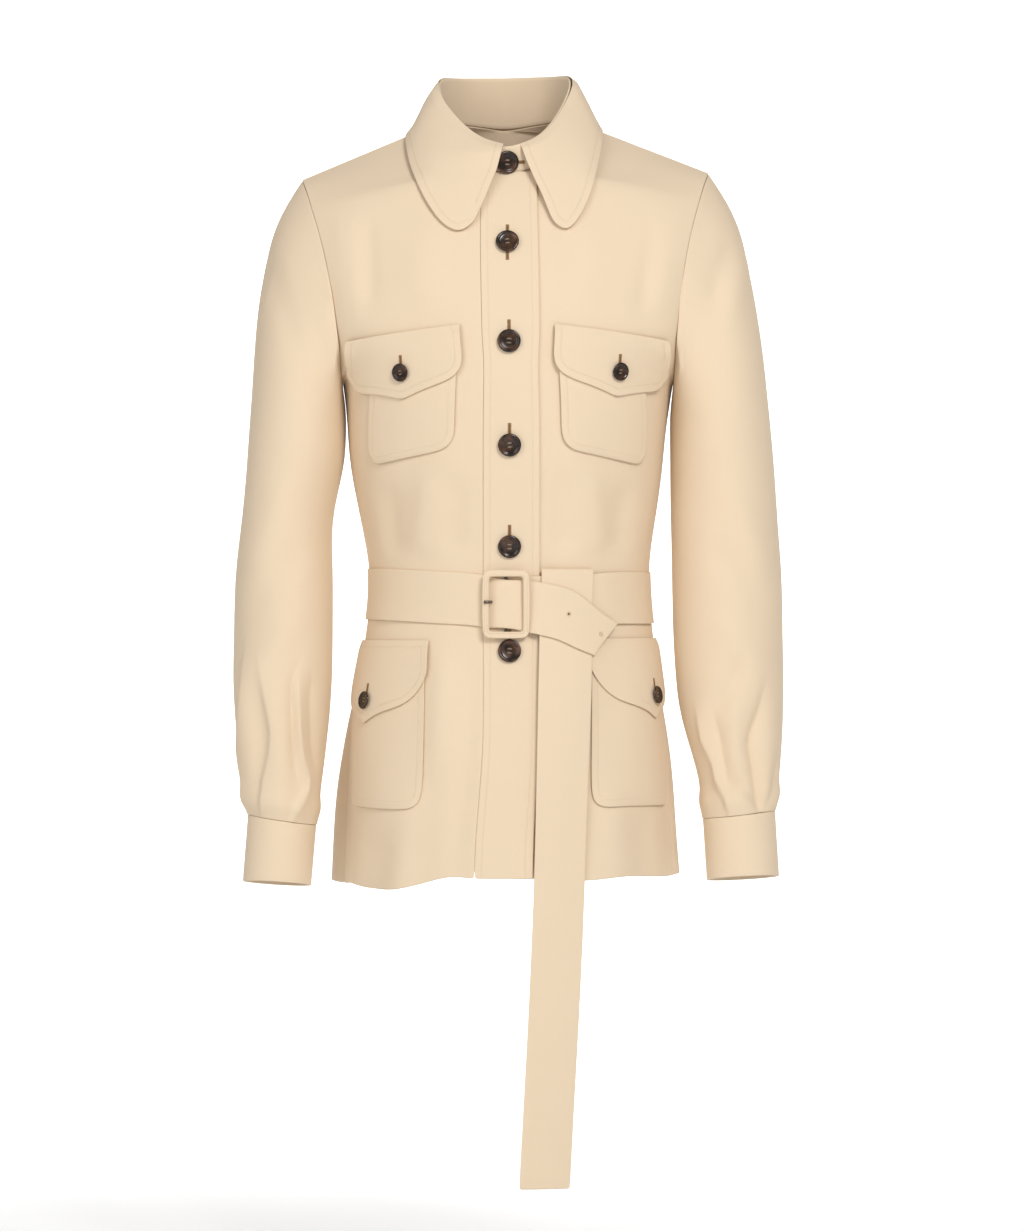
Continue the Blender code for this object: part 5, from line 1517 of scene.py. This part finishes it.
# %% Floor and wall
FLOOR_HEIGHT = -1.10
BACKDROP_DEPTH = 5.2     # far enough for a camera to go round the jacket
BACKDROP_CURVE = 1.2
BACKDROP_HALF = 6.0
CURVE_STEPS = 16
FLOOR_FRONT = -7.0
WALL_TOP = 4.0
PAPER = (0.96, 0.96, 0.96, 1.0)
PAPER_CLOUD = (40.0, 2.0)
PAPER_ROUGH = (0.05, 0.9)
line = [(FLOOR_FRONT, FLOOR_HEIGHT), (BACKDROP_DEPTH, FLOOR_HEIGHT)]
for step in range(1, CURVE_STEPS + 1):
    angle = math.pi / 2 * step / CURVE_STEPS
    line.append((BACKDROP_DEPTH + BACKDROP_CURVE * math.sin(angle),
                 FLOOR_HEIGHT + BACKDROP_CURVE * (1 - math.cos(angle))))
line.append((line[-1][0], WALL_TOP))
corners = [(side * BACKDROP_HALF, y, z) for y, z in line for side in (-1, 1)]
strips = [(2 * step, 2 * step + 1, 2 * step + 3, 2 * step + 2) for step in range(len(line) - 1)]
floor = link("studio_floor", point_mesh("studio_floor", corners, faces=strips))
floor.data.shade_smooth()
paper, tree, shader = new_material("white_paper")
rough = calc(tree, "MULTIPLY_ADD", noise(tree, *PAPER_CLOUD), *PAPER_ROUGH)
fill(tree, shader, {"Base Color": PAPER, "Roughness": rough})
dress(floor, paper)
print("floor and wall: %d strips" % len(strips))


# %% Lamps
LAMPS = (                # name, place, aim, size, power
    ("key_light", (1.4, -3.7, 1.85), (0.0, 0.0, -0.35), 1.3, 104),
    ("fill_light", (-2.7, -3.6, 0.9), (0.0, 0.0, -0.40), 2.6, 52),
    ("back_wall_light", (0.0, 2.5, 2.6), (0.0, 6.2, -0.5), 3.0, 290),
)
ROOM_LIGHT = {"Color": (1.0, 1.0, 1.0, 1.0), "Strength": 0.34}
for name, place, aim, size, power in LAMPS:
    lamp = bpy.data.lights.new(name, "AREA")
    lamp.size = size
    lamp.energy = power
    holder = link(name, lamp)
    holder.location = place
    holder.rotation_euler = (Vector(aim) - Vector(place)).to_track_quat("-Z", "Y").to_euler()
room = bpy.data.worlds.new("studio")
room.use_nodes = True
fill(room.node_tree, room.node_tree.nodes["Background"], ROOM_LIGHT)
bpy.context.scene.world = room
bpy.context.scene.view_settings.view_transform = "Standard"
print("lamps:", len(LAMPS))
